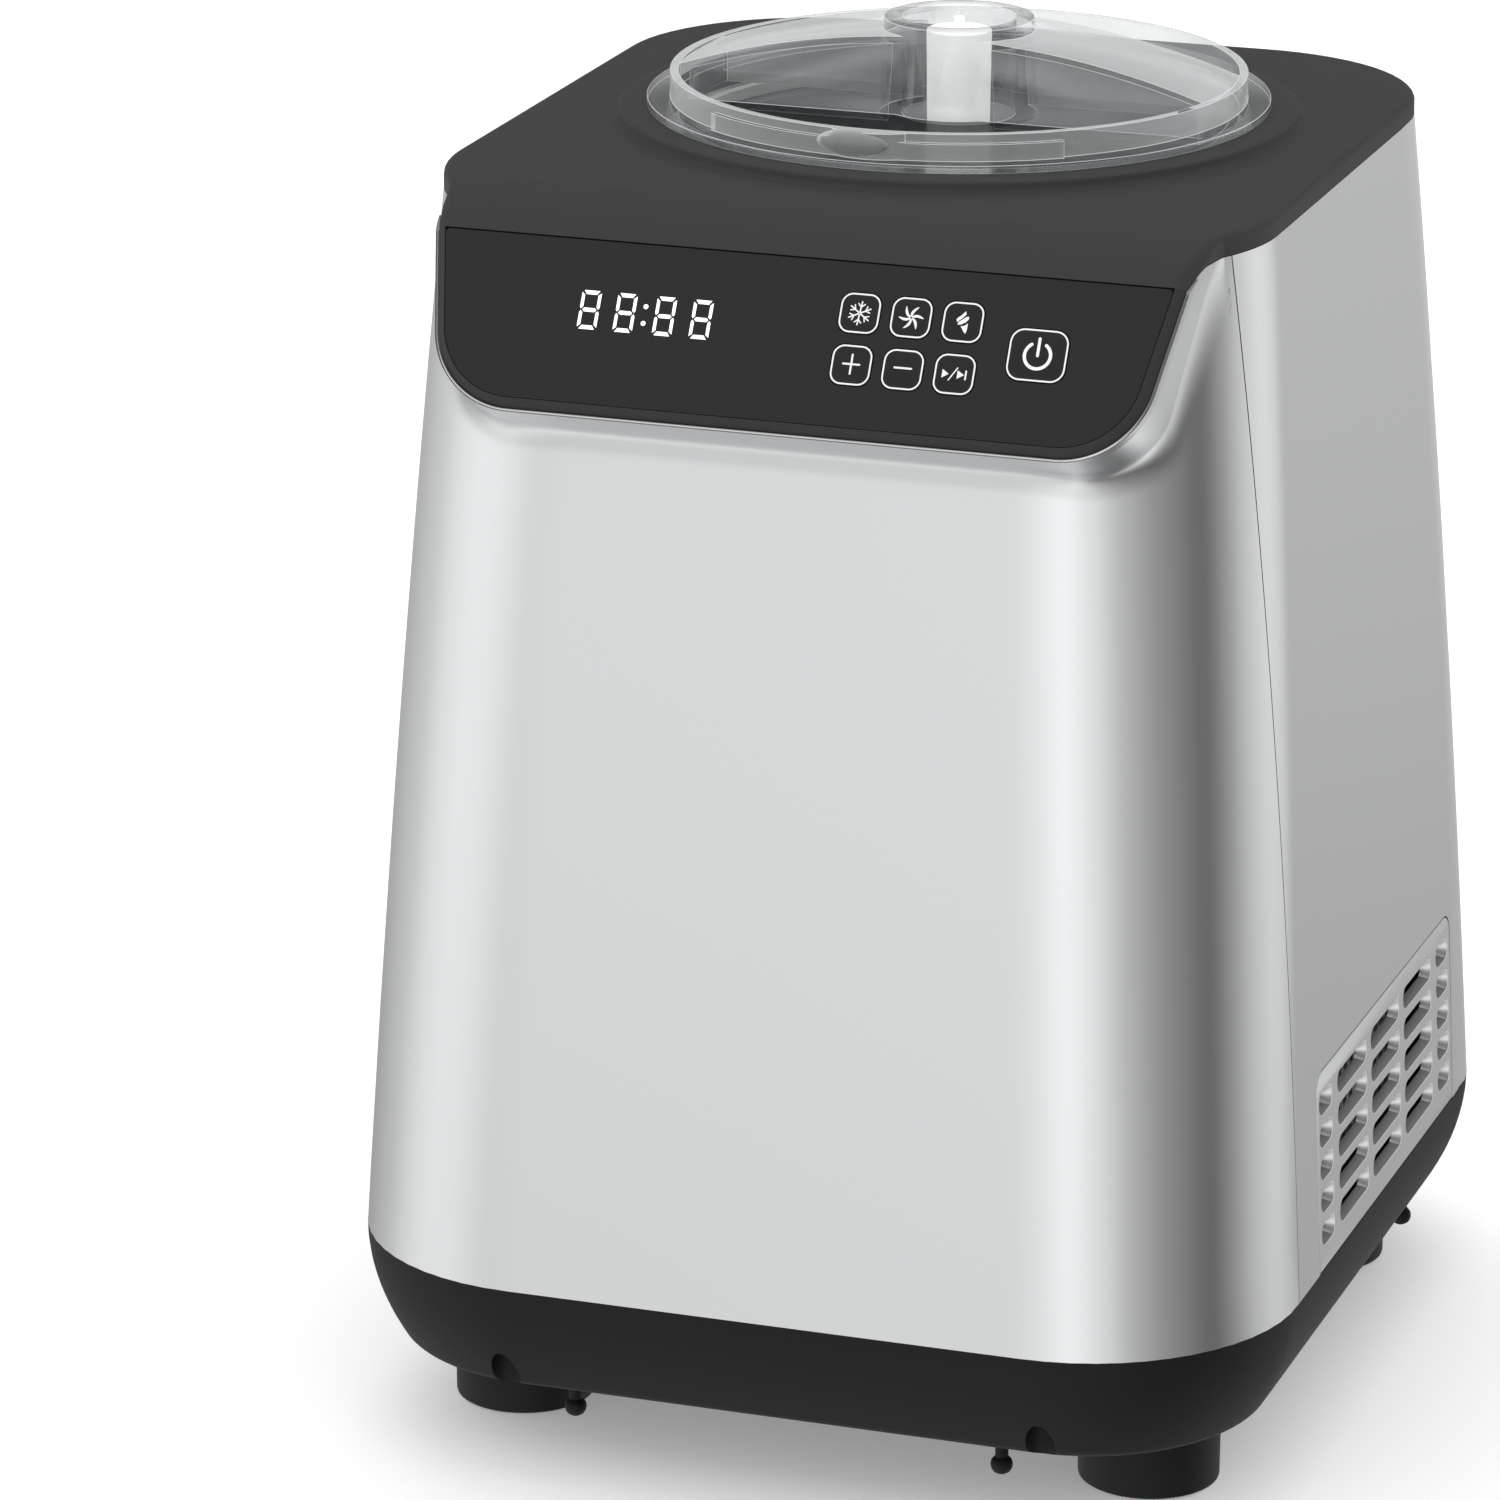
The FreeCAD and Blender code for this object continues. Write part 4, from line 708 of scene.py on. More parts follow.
coverForm = {
    "top": 292.6, "apronStart": -79.0, "apronRadius": 31.7, "edgeRound": 1.8, "bevelDrop": 2.1,
    "fadeFrom": -86.0, "fadeTo": -90.0, "axisY": 14.2, "wall": 1.5, "gap": 0.12,
    # foot of the wall: behind the panel, then tucked into the shell's edge
    "footDown": 0.05, "footOut": -2.5, "edgeAhead": 5.0, "clear": 0.7, "tuck": 0.38,
    "tuckSpeed": 1.4,
    "panelSteps": 16, "sideSteps": 36, "cornerSteps": 16, "backSteps": 12, "topRows": 14,
    "edgeRows": (0.12, 0.35, 0.7, 1.1, 1.6, 2.2, 3.0, 4.2),
    "collar": ((80.4, 0.0), (79.4, 0.08), (78.7, 0.3), (78.3, 0.75), (78.15, 1.5), (78.0, 1.85),
               (77.7, 2.12), (77.2, 2.2), (70.4, 2.2), (69.7, 2.1), (69.2, 1.75), (69.0, 1.2),
               (69.0, -5.5)),
}


def apronHeight(y):
    c = coverForm
    if y >= c["apronStart"]:
        return c["top"]
    drop = c["apronStart"] - y
    return c["top"] - c["apronRadius"] + math.sqrt(c["apronRadius"] ** 2 - drop * drop)


def edgeDistance(x, y, edge):
    distances = []
    for (ax, ay), (bx, by) in zip(edge, edge[1:]):
        dx, dy = bx - ax, by - ay
        t = ((x - ax) * dx + (y - ay) * dy) / max(dx ** 2 + dy ** 2, 1e-9)   # never by zero
        t = max(0.0, min(1.0, t))
        distances.append(math.hypot(x - mix(ax, bx, t), y - mix(ay, by, t)))
    return min(distances)


def coverHeight(x, y, edge):
    # the apron and flat top, rounded at the side edge; the panel's bevel runs out up the apron
    c = coverForm
    gone = edgeDistance(x, y, edge)
    r = c["edgeRound"]
    rounding = r - math.sqrt(max(0.0, r * r - max(0.0, r - gone) ** 2))
    bevel = c["bevelDrop"] * max(0.0, 1 - gone / panelForm["bevel"])
    fade = smooth((c["fadeFrom"] - y) / (c["fadeFrom"] - c["fadeTo"]))
    return apronHeight(y) - mix(rounding, bevel, fade)


def coverStations(side):
    # one half, from the front middle to the back middle: the foot of the wall at each line
    c = coverForm
    b = bodyForm
    p = panelForm
    outer = p["halfTop"] + side * p["shift"]
    inner = outer - p["bevel"]
    noseEdge = noseEdges[side]
    xs = [inner * i / c["panelSteps"] for i in range(c["panelSteps"] + 1)]
    xs += [mix(inner, outer, share) for share in (0.5, 1.0)]
    stations = [panelPoint(x, c["footDown"], c["footOut"]) for x in xs]
    front = len(stations) - 1
    lipLow = noseEdge[0][2]
    clear = -p["front"] + p["edge"] * panelCos + c["clear"]
    for x, y, z in noseEdge[::2] + [noseEdge[-1]]:
        if y > clear:
            tuck = 1 - smooth((z - lipLow) / (b["bodyTop"] - lipLow) * c["tuckSpeed"])
            stations.append((x - c["tuck"] * tuck, y, z + c["gap"]))
    level = b["bodyTop"]
    half, ahead, back, r = bodySizes(level)
    for i in range(1, c["sideSteps"] + 1):
        y = mix(noseEdge[-1][1], back - r, i / c["sideSteps"])
        stations.append((bodyAtY(y, level), y, level + c["gap"]))
    for i in range(1, c["cornerSteps"] + 1):
        a = math.pi / 2 * i / c["cornerSteps"]
        stations.append((half - r + r * math.cos(a), back - r + r * math.sin(a), level + c["gap"]))
    for i in range(1, c["backSteps"] + 1):
        stations.append(((half - r) * (1 - i / c["backSteps"]), back, level + c["gap"]))
    return stations, front


def coverLines(side):
    c = coverForm
    p = panelForm
    stations, front = coverStations(side)
    # the bevel's edge runs on in front of the apron
    edge = [(stations[front][0], -p["front"] - c["edgeAhead"])]
    edge += [(x, y) for x, y, z in stations[front:]]
    lines = []
    for i, (x, y, z) in enumerate(stations):
        if i <= front:
            climb = max(0, i - front + 2) / 2   # the last two lines step back over the bevel
            y = -p["front"] + p["edge"] * climb * panelCos
        reach = math.hypot(x, y - c["axisY"])
        across, ahead = x / reach, (y - c["axisY"]) / reach
        line = [stations[i], (x, y, coverHeight(x, y, edge))]
        start = c["edgeRows"][-1]
        end = reach - c["collar"][0][0]
        rows = [mix(start, end, k / c["topRows"]) for k in range(1, c["topRows"] + 1)]
        for distance in [*c["edgeRows"], *rows]:
            px, py = x - across * distance, y - ahead * distance
            line.append((px, py, coverHeight(px, py, edge)))
        for radius, rise in c["collar"][1:]:
            line.append((across * radius, c["axisY"] + ahead * radius, c["top"] + rise))
        lines.append([(side * px, py, pz) for px, py, pz in line])
    return lines


def makeTopCover():
    c = coverForm
    lines = coverLines(1) + coverLines(-1)[-2:0:-1]
    points = [spot for line in lines for spot in line]
    columns = len(lines[0])
    faces = stripFaces(len(lines), columns)
    last = (len(lines) - 1) * columns
    faces += [(last + k, last + k + 1, k + 1, k) for k in range(columns - 1)]
    cover = meshPiece("topCoverSkin", points, faces)
    applyModifier(cover, "SOLIDIFY", thickness=c["wall"] / 1000, offset=-1)
    finishPiece(cover, "housing", blackTop, ["top_cover"], angle=40)


makeTopCover()
print("top cover made")

# bevelled bezel round the sides and foot of the key panel, and the flat panel with its key holes

keyForm = {
    "width": 9.2, "height": 9.1, "corner": 2.7,
    "columns": (15.85, 27.5, 39.15), "rows": (11.57, 23.2),
    "names": (("key_cool", "key_stir", "key_ice_cream"),
              ("key_plus", "key_minus", "key_start_pause")),
    "power": (56.85, 17.45, 13.3, 11.75, 3.2),   # across, down, width, height, corner
    "gap": 0.2, "cutOver": 1.0, "cornerSteps": 8, "deep": 1.1, "proud": 0.12,
    # growth of the cap's outline and height over its rim, in to the shallow dish
    "dish": ((0.0, -0.1), (-0.03, -0.03), (-0.1, 0.0), (-0.55, 0.0), (-0.95, -0.05), (-1.6, -0.1)),
    "line": 0.36, "lineInset": 0.12, "ink": 0.03, "capSteps": 5,
}


def keyPlaces():
    k = keyForm
    places = {}
    for names, down in zip(k["names"], k["rows"]):
        for name, across in zip(names, k["columns"]):
            places[name] = (across, down, k["width"], k["height"], k["corner"])
    places["key_power"] = k["power"]
    return places


def makeBezel():
    p = panelForm
    inside = -p["bevel"]
    # its section, from the foot over the bevel and down inside
    profile = ((0.0, -p["thick"]), (0.0, -p["edge"] - 0.15), (-0.12, -p["edge"] + 0.05),
               (inside + 0.3, -0.1), (inside + 0.12, 0.0), (inside + 0.04, -0.03),
               (inside, -0.12), (inside, -p["thick"]))
    rings = []
    for grow, out in profile:
        halves = []
        for side in (-1, 1):
            outline = panelOutline(side, grow, 0.0, *p["steps"])
            halves.append([(side * x, down, out) for x, down, nx, ny in outline])
        rings.append(halves[0][:0:-1] + halves[1])
    rows = [[panelPoint(*ring[i]) for ring in rings] for i in range(len(rings[0]))]
    bezel = meshPiece("panelBezel", *ringFaces(rows))
    finishPiece(bezel, "housing", blackTop, angle=20)


def panelRing(grow, out):
    p = panelForm
    r = p["faceCorner"]
    halves = []
    for side in (1, -1):
        outline = panelOutline(side, grow, p["faceTop"] + r, *p["steps"])
        half = [(x, down) for x, down, nx, ny in outline]
        x, down = half[-1]
        half += arcPoints(x - r, down, r, 0, -90, p["faceSteps"])[1:]
        halves.append([panelPoint(side * x, down, out) for x, down in half])
    return halves[0] + halves[1][:0:-1]


def keyRing(place, grow, out):
    x, down, width, height, corner = place
    loop = roundedLoop(x - width / 2 - grow, x + width / 2 + grow, down - height / 2 - grow,
                       down + height / 2 + grow, corner + grow, keyForm["cornerSteps"])
    return [panelPoint(a, b, out) for a, b in loop]


def makeKeyPanel():
    p = panelForm
    k = keyForm
    inset = -p["bevel"] - p["faceGap"]
    steps = ((0.0, -p["thick"]), *p["faceEdge"])
    panel = meshPiece("keyPanel", *ringFaces([panelRing(inset + grow, out) for grow, out in steps]))
    cutters = []
    for name, place in keyPlaces().items():
        ends = (-p["thick"] - k["cutOver"], k["cutOver"])
        rings = [keyRing(place, k["gap"], out) for out in ends]
        cutters.append(meshPiece(name + "Hole", *ringFaces(rings)))
    combine(panel, "DIFFERENCE", joinPieces(cutters, "keyHoles"))
    finishPiece(panel, "housing", blackPanel, ["control_fascia"], angle=12)


makeBezel()
makeKeyPanel()
print("key panel made")

# keys with a shallow dish, a printed white outline and a printed sign

def inkPlate(name, loops, across, down, out):
    middle = Vector(panelPoint(across, down, out + keyForm["ink"]))
    along = Vector((1, 0, 0))
    up = Vector((0, panelSin, panelCos))
    turn = Matrix((along, up, along.cross(up))).transposed().to_4x4()
    return curvePlate(name, loops, keyForm["ink"] * 2, 0.0, Matrix.Translation(middle) @ turn)


def stroke(x0, y0, x1, y1, width):
    along = Vector((x1 - x0, y1 - y0)).normalized()
    angle = math.degrees(math.atan2(along.y, along.x))
    r = width / 2
    tip = arcPoints(x1, y1, r, angle - 90, angle + 90, keyForm["capSteps"])
    return tip + arcPoints(x0, y0, r, angle + 90, angle + 270, keyForm["capSteps"])


def arcStroke(x, y, r, width, start, end, steps):
    outer = arcPoints(x, y, r + width / 2, start, end, steps)
    inner = arcPoints(x, y, r - width / 2, end, start, steps)
    tips = []
    for a, first in ((end, end), (start, start + 180)):
        tipX, tipY = x + r * math.cos(math.radians(a)), y + r * math.sin(math.radians(a))
        tip = arcPoints(tipX, tipY, width / 2, first, first + 180, keyForm["capSteps"])
        tips.append(tip[1:-1])
    return outer + tips[0] + inner + tips[1]


def turned(loop, angle):
    c, s = math.cos(math.radians(angle)), math.sin(math.radians(angle))
    return [(x * c - y * s, x * s + y * c) for x, y in loop]


def blade():
    # one curved blade of the stirring sign, widest near its tip
    rows = [(0.5, 0.0, 0.2), (1.1, 0.14, 0.32), (1.65, 0.48, 0.37), (2.1, 0.92, 0.32),
            (2.42, 1.36, 0.16)]
    left = [(y - w, x) for x, y, w in rows]
    right = [(y + w, x) for x, y, w in reversed(rows)]
    return left + right


def keySigns():
    arm = [stroke(0.3, 0, 2.6, 0, 0.3)] + [stroke(1.35, 0, 2.1, y, 0.27) for y in (0.75, -0.75)]
    flake = [turned(loop, 85 + 60 * k) for k in range(6) for loop in arm]
    flake.append(arcStroke(0, 0, 0.3, 0.24, 0, 350, 12))
    stir = [turned(blade(), -60 * k) for k in range(6)]
    stir.append(arcStroke(0, 0, 0.38, 0.26, 0, 350, 14))
    cone = [
        [(0.35, 2.5), (0.55, 1.8), (-0.2, 0.9), (-1.3, -0.05), (-1.5, 0.5), (-1.2, 0.95),
         (-0.4, 1.6)],
        [(1.15, 1.35), (1.25, 0.75), (0.6, 0.0), (-0.5, -0.6), (-1.15, -0.55), (-0.95, -0.05),
         (-0.1, 0.65), (0.6, 1.2)],
        [(1.2, -0.15), (1.15, -1.6), (0.95, -2.45), (0.65, -2.3), (-0.35, -0.95), (0.5, -0.75)],
    ]
    plus = [stroke(-1.85, 0.2, 1.85, 0.2, 0.42), stroke(0, -1.95, 0, 2.35, 0.42)]
    minus = [stroke(-1.9, 0.35, 1.9, 0.35, 0.42)]
    start = [
        [(-2.75, -0.95), (-2.75, 0.95), (-1.25, 0.0)], stroke(-1.15, -1.35, 0.55, 1.45, 0.26),
        [(0.65, -0.95), (0.65, 0.95), (2.2, 0.0)], stroke(2.55, -0.95, 2.55, 0.9, 0.36),
    ]
    power = [arcStroke(0, -0.05, 2.9, 0.72, 124, 416, 44), stroke(0, -0.05, 0, 3.75, 0.64)]
    return {"key_cool": flake, "key_stir": stir, "key_ice_cream": cone, "key_plus": plus,
            "key_minus": minus, "key_start_pause": start, "key_power": power}


def outlineLoop(place, inset):
    x, down, width, height, corner = place
    return roundedLoop(-width / 2 + inset, width / 2 - inset, -height / 2 + inset,
                       height / 2 - inset, corner - inset, keyForm["cornerSteps"])


def makeKey(name, place, loops):
    k = keyForm
    steps = [(0.0, -k["deep"])] + [(grow, k["proud"] + rise) for grow, rise in k["dish"]]
    cap = meshPiece(name + "Cap", *ringFaces([keyRing(place, grow, out) for grow, out in steps]))
    finishPiece(cap, name, keyPlastic, [name], angle=30)
    at = (place[0], place[1], k["proud"])
    insets = (k["lineInset"], k["lineInset"] + k["line"])
    lineLoops = [outlineLoop(place, inset) for inset in insets]
    ink = [inkPlate(name + "Outline", lineLoops, *at)]
    ink += [inkPlate(name + "Sign" + str(i), [loop], *at) for i, loop in enumerate(loops)]
    # the white print carries a painted glow
    finishPiece(joinPieces(ink, name + "Print"), name, glowPaintedInk)


signs = keySigns()
for name, place in keyPlaces().items():
    makeKey(name, place, signs[name])
print("keys made")

# clock digits of seven pointed segments

digitForm = {
    "left": (-47.75, -39.45, -30.35, -21.9), "top": 11.7, "bottom": 20.45, "width": 4.5,
    "stroke": 0.88, "gap": 0.18, "flatTip": 0.25, "sideTip": 0.3,
    "colonX": -32.7, "colonDown": (14.25, 18.05), "dot": 0.55, "dotSteps": 16,
}


def segmentLoops():
    d = digitForm
    w, h, t, g = d["width"], (d["bottom"] - d["top"]) / 2, d["stroke"], d["gap"]
    half = t / 2
    tip = g + d["flatTip"]
    top = [(tip, 0), (w - tip, 0), (w - t - g, t), (t + g, t)]
    middle = [(half + g, h), (t + g, h - half), (w - t - g, h - half), (w - half - g, h),
              (w - t - g, h + half), (t + g, h + half)]
    upper = [(0, g + d["sideTip"]), (t - g, t + g), (t - g, h - half - g), (half - g, h - g),
             (0, h - half - g)]
    loops = [top, middle, upper]
    loops.append([(w - x, y) for x, y in upper])
    loops += [[(x, 2 * h - y) for x, y in loop] for loop in (top, upper)]
    loops.append([(w - x, 2 * h - y) for x, y in upper])
    return loops


def makeDigits():
    d = digitForm
    loops = []
    for left in d["left"]:
        loops += [[(left + x, -d["top"] - y) for x, y in loop] for loop in segmentLoops()]
    for down in d["colonDown"]:
        loops.append(arcPoints(d["colonX"], -down, d["dot"], 0, 360, d["dotSteps"])[:-1])
    plates = [inkPlate("digitSegment", [loop], 0.0, 0.0, 0.0) for loop in loops]
    finishPiece(joinPieces(plates, "clockDigits"), "housing", displayGlow)


makeDigits()
print("digits made")

# copies of solids with their sharp edges rounded

def looseCopy(node, name):
    obj = newObject(name, nodes[node].data.copy())
    bpy.ops.mesh.customdata_custom_splitnormals_clear()
    mergeDoubles()
    bpy.ops.mesh.dissolve_limited(angle_limit=math.radians(0.5))
    bpy.ops.object.mode_set(mode="OBJECT")
    return obj


def softenEdges(obj, width, **settings):
    applyModifier(obj, "BEVEL", width=width / 1000, segments=2, limit_method="ANGLE",
                  angle_limit=math.radians(35), **settings)


# base: the tray with its lower edge rolled under, plain round feet and round-headed screws

baseForm = {
    "top": 46.3, "bottom": 19.7, "half": 110.25, "depth": 124.5, "corner": 49.6, "tuck": 8.9,
    "roll": 5.0, "over": 0.02, "hullGrow": 5.0, "hullRise": 20.0,
    "wallRows": 8, "rollRows": 8, "cornerSteps": 24,
    # places of the feet and screws, and the radius and height along their sides
    "footX": 75.8, "footY": 72.9, "footSteps": 64,
    "foot": ((13.5, 2.2), (13.5, 0.5), (15.6, 0.5), (16.0, 0.8), (16.15, 1.3), (16.3, 19.7)),
    "screws": ((51.0, -106.0), (96.95, 72.0)), "screwSteps": 24,
    "screw": ((1.1, 10.3), (1.9, 10.8), (2.4, 11.6), (2.55, 12.5), (2.4, 13.3), (1.9, 14.0),
              (1.5, 14.3), (1.5, 19.7)),
    "pocket": (63.5, -117.3), "pocketScrew": ((1.6, 29.1), (2.3, 29.5), (2.6, 30.2), (2.6, 31.5)),
}


def baseRing(tuck, z):
    b = baseForm
    half, depth, r = b["half"] - tuck, b["depth"] - tuck, b["corner"] - tuck
    return [(x, y, z) for x, y in roundedLoop(-half, half, -depth, depth, r, b["cornerSteps"])]


def makeBase():
    b = baseForm
    height = b["top"] - b["bottom"]
    share = 1.0
    for i in range(20):   # settles where the curved wall passes into the roll
        lean = math.atan(2 * b["tuck"] * share / height)
        share = 1 - b["roll"] * (1 - math.sin(lean)) / height
    rings = [baseRing(-b["hullGrow"], b["top"] + b["hullRise"]), baseRing(-b["over"], b["top"])]
    for i in range(1, b["wallRows"] + 1):
        u = share * i / b["wallRows"]
        rings.append(baseRing(b["tuck"] * u * u - b["over"], b["top"] - u * height))
    start = b["tuck"] * share * share
    for i in range(1, b["rollRows"] + 1):
        a = mix(lean, math.pi / 2, i / b["rollRows"])
        tuck = start + b["roll"] * (math.cos(lean) - math.cos(a))
        z = b["bottom"] + b["roll"] * (1 - math.sin(a))
        rings.append(baseRing(tuck - b["over"], z - b["over"]))
    hull = meshPiece("baseHull", *ringFaces(rings))
    tray = looseCopy("base_tray", "baseTrayShell")
    combine(tray, "INTERSECT", hull)
    finishPiece(tray, "housing", blackBase, ["base_tray"])


def lathe(name, profile, x, y, steps):
    turns = [2 * math.pi * i / steps for i in range(steps)]
    rings = [[(x + r * math.cos(a), y + r * math.sin(a), z) for a in turns] for r, z in profile]
    return meshPiece(name, *ringFaces(rings))


def makeFeet():
    b = baseForm
    for node, sideX, sideY in (("foot_front_left", -1, -1), ("foot_front_right", 1, -1),
                               ("foot_rear_left", -1, 1), ("foot_rear_right", 1, 1)):
        name = node.replace("_", "") + "Round"
        foot = lathe(name, b["foot"], sideX * b["footX"], sideY * b["footY"], b["footSteps"])
        finishPiece(foot, "housing", blackBase, [node])


def makeScrews():
    b = baseForm
    places = [(b["screw"], *place) for place in b["screws"]] + [(b["pocketScrew"], *b["pocket"])]
    screws = []
    for side in (-1, 1):
        for profile, x, y in places:
            screws.append(lathe("screwHead", profile, side * x, y, b["screwSteps"]))
    screws = joinPieces(screws, "roundHeadScrews")
    finishPiece(screws, "housing", blackBase, ["base_screws"])


makeBase()
makeFeet()
makeScrews()
print("base made")

# lid: clear, with soft edges, a lens-shaped thumb bump and textured grips

thumbForm = {"middle": (-3.1, -53.3, 300.2), "radii": (8.4, 3.0, 3.0),
             # share of the bump's size at which a face is on it, and how far it may face down
             "near": (0.9, 1.05), "under": -0.2}
lidForm = {
    "edge": 0.48, "axisY": 14.2, "floorLow": 291.9, "floorHigh": 294.8, "bridgeLow": 298.0,
    "bridgeHigh": 314.0, "bridgeHalf": 15.2, "wallFrom": 12.4, "gripLow": 297.2, "gripReach": 63.0,
    # share of a face's normal that makes it level, facing outwards, facing up or ahead
    "level": 0.9, "outward": 0.6, "turned": 0.3,
}


def lidPaintedLight(face):
    # 1 painted edge highlight, 2 milky with painted sheen, 3 floor with painted shade, 0 plain
    if face.material_index == 1:
        return 1
    f = lidForm
    t = thumbForm
    x, y, z = (c * 1000 for c in face.center)
    nx, ny, nz = face.normal
    bump = sum(((c - m) / r) ** 2 for c, m, r in zip((x, y, z), t["middle"], t["radii"]))
    if t["near"][0] < bump < t["near"][1] and nz > t["under"]:
        return 2
    if f["floorLow"] < z < f["floorHigh"] and abs(nz) > f["level"]:
        return 3
    ahead = y - f["axisY"]
    reach = math.hypot(x, ahead)
    outward = x * nx + ahead * ny > f["outward"] * reach
    if z > f["gripLow"] and reach > f["gripReach"] and outward:
        return 2
    if f["floorHigh"] < z < f["bridgeHigh"] and abs(ahead) < f["bridgeHalf"]:
        onTop = nz > f["turned"] and z > f["bridgeLow"]
        rearWall = ahead > f["wallFrom"] and ny < -f["turned"]
        return 2 if onTop or rearWall else 0
    return 0


def makeLid():
    lid = looseCopy("lid", "clearLid")
    lid.data.materials.clear()
    for material in (clearPlastic, edgeHighlightAcrylic):
        lid.data.materials.append(material)
    # the bevel faces take the painted edge highlight
    softenEdges(lid, lidForm["edge"], material=1)
    deselectAll()
    bpy.ops.mesh.primitive_uv_sphere_add(segments=48, ring_count=24, radius=0.001,
                                         location=[c / 1000 for c in thumbForm["middle"]])
    thumb = bpy.context.object
    bpy.ops.transform.resize(value=thumbForm["radii"])
    bpy.ops.object.transform_apply(location=True, rotation=True, scale=True)
    combine(lid, "UNION", thumb)
    paintedFaces = [lidPaintedLight(face) for face in lid.data.polygons]
    finishPiece(lid, "lid", clearPlastic, ["lid"])
    # painted edge highlight, milky haze with painted sheen, floor with painted shade
    for material in (edgeHighlightAcrylic, milkySheenAcrylic, shadeTintedFloorAcrylic):
        lid.data.materials.append(material)
    lid.data.polygons.foreach_set("material_index", paintedFaces)
    lid.visible_shadow = False


makeLid()
print("lid made")

# paddle: soft edges, and a slim stem that ends just under the rim of the lid's tube

paddleForm = {
    "edge": 0.4,
    # the stem in metres, as its mesh is: where it starts, enters the tube and ends, and its radius
    "stemLow": 0.2, "tubeLow": 0.3, "stemTop": 0.307, "rise": 0.003, "reach": (0.002, 0.0112),
    "slim": 0.62, "tubeSlim": 0.68,
}


def makePaddle():
    f = paddleForm
    axis = lidForm["axisY"] / 1000
    paddle = looseCopy("paddle", "whitePaddle")
    softenEdges(paddle, f["edge"])
    # white plastic with a painted glow
    finishPiece(paddle, "paddle", glowPaintedWhitePlastic, ["paddle"])
    for vertex in paddle.data.vertices:
        x, y, z = vertex.co
        if z > f["stemLow"] and f["reach"][0] < math.hypot(x, y - axis) < f["reach"][1]:
            slim = f["tubeSlim"] if z > f["tubeLow"] else f["slim"]
            vertex.co.x *= slim
            vertex.co.y = axis + (y - axis) * slim
        if z > f["stemTop"]:
            vertex.co.z += f["rise"]


makePaddle()
print("paddle made")

# finishes of the solids that stay as they are

# real material, two tones, roughness, metal share, grain in mm along each axis, strength, solids
finishes = (
    # dark moulded rubber: matt, with a fine tooth
    ("mouldedRubber", "#191919", "#232323", 0.8, 0.0, (0.8, 0.8, 0.8), 0.25,
     ("foot_pads", "compressor_grommets")),
    # translucent silicone: pale grey, soft sheen, faint clouding
    ("paleSilicone", "#cfd1cf", "#dcdedc", 0.42, 0.0, (6, 6, 6), 0.05,
     ("lid_seal", "chamber_gasket")),
    # green solder mask: glossy, with tone shifts where copper lies under it
    ("solderMaskBoard", "#17492e", "#2a6a45", 0.3, 0.0, (3, 3, 3), 0.1,
     ("control_board", "power_board")),
    # dark window of the display module: smooth and almost black
    ("darkDisplayWindow", "#101112", "#161718", 0.2, 0.0, (2, 2, 2), 0.02, ("display_module",)),
    # anodised aluminium: grey satin with turning marks round the wall
    ("anodisedAluminium", "#a9adb0", "#bcc0c3", 0.34, 1.0, (40, 40, 0.5), 0.12,
     ("bowl", "freezing_chamber")),
    # cut polyurethane foam: cream, dull, open cells
    ("creamFoam", "#d8cda6", "#e6dcbb", 0.9, 0.0, (1.6, 1.6, 1.6), 0.6, ("insulation",)),
    # zinc plated steel: bright grey with a faint roll direction
    ("zincPlatedSteel", "#b4b7ba", "#c8cbce", 0.32, 1.0, (12, 0.6, 12), 0.1,
     ("support_deck", "drive_shaft", "lay_pin")),
    # natural nylon: warm white, waxy
    ("naturalNylon", "#ddd6c3", "#e8e2d2", 0.42, 0.0, (5, 5, 5), 0.06,
     ("output_gear", "lay_gear", "motor_pinion", "gearbox_case")),
    # sintered bronze: brown gold with small pores
    ("sinteredBronze", "#8a5f36", "#a87a4a", 0.45, 1.0, (0.5, 0.5, 0.5), 0.3, ("drive_bushes",)),
    # drawn motor can: satin steel with a vertical draw
    ("drawnSteelCan", "#989ca0", "#b0b4b8", 0.36, 1.0, (0.6, 0.6, 14), 0.1, ("drive_motor",)),
    # sprayed black enamel: glossy with orange peel
    ("blackEnamel", "#1b1b1c", "#222223", 0.3, 0.0, (2.5, 2.5, 2.5), 0.15, ("compressor",)),
    # drawn copper tube: warm metal, tarnished in clouds
    ("drawnCopper", "#a9603c", "#c98a62", 0.32, 1.0, (9, 9, 9), 0.05,
     ("evaporator_coil", "suction_line", "discharge_line", "liquid_line", "capillary",
      "filter_drier")),
    # rolled aluminium fins: pale metal in thin lines
    ("rolledFins", "#b5b9bc", "#d0d3d5", 0.38, 1.0, (14, 0.4, 14), 0.2, ("condenser",)),
    # glass filled fan plastic: dark grey, dry sheen
    ("glassFilledPlastic", "#2c2d2e", "#363738", 0.55, 0.0, (0.7, 0.7, 0.7), 0.15,
     ("fan_frame", "fan_rotor")),
    # moulded gland: black, slightly flexible plastic
    ("flexibleBlack", "#1d1d1e", "#262627", 0.6, 0.0, (1, 1, 1), 0.15, ("cord_gland",)),
)


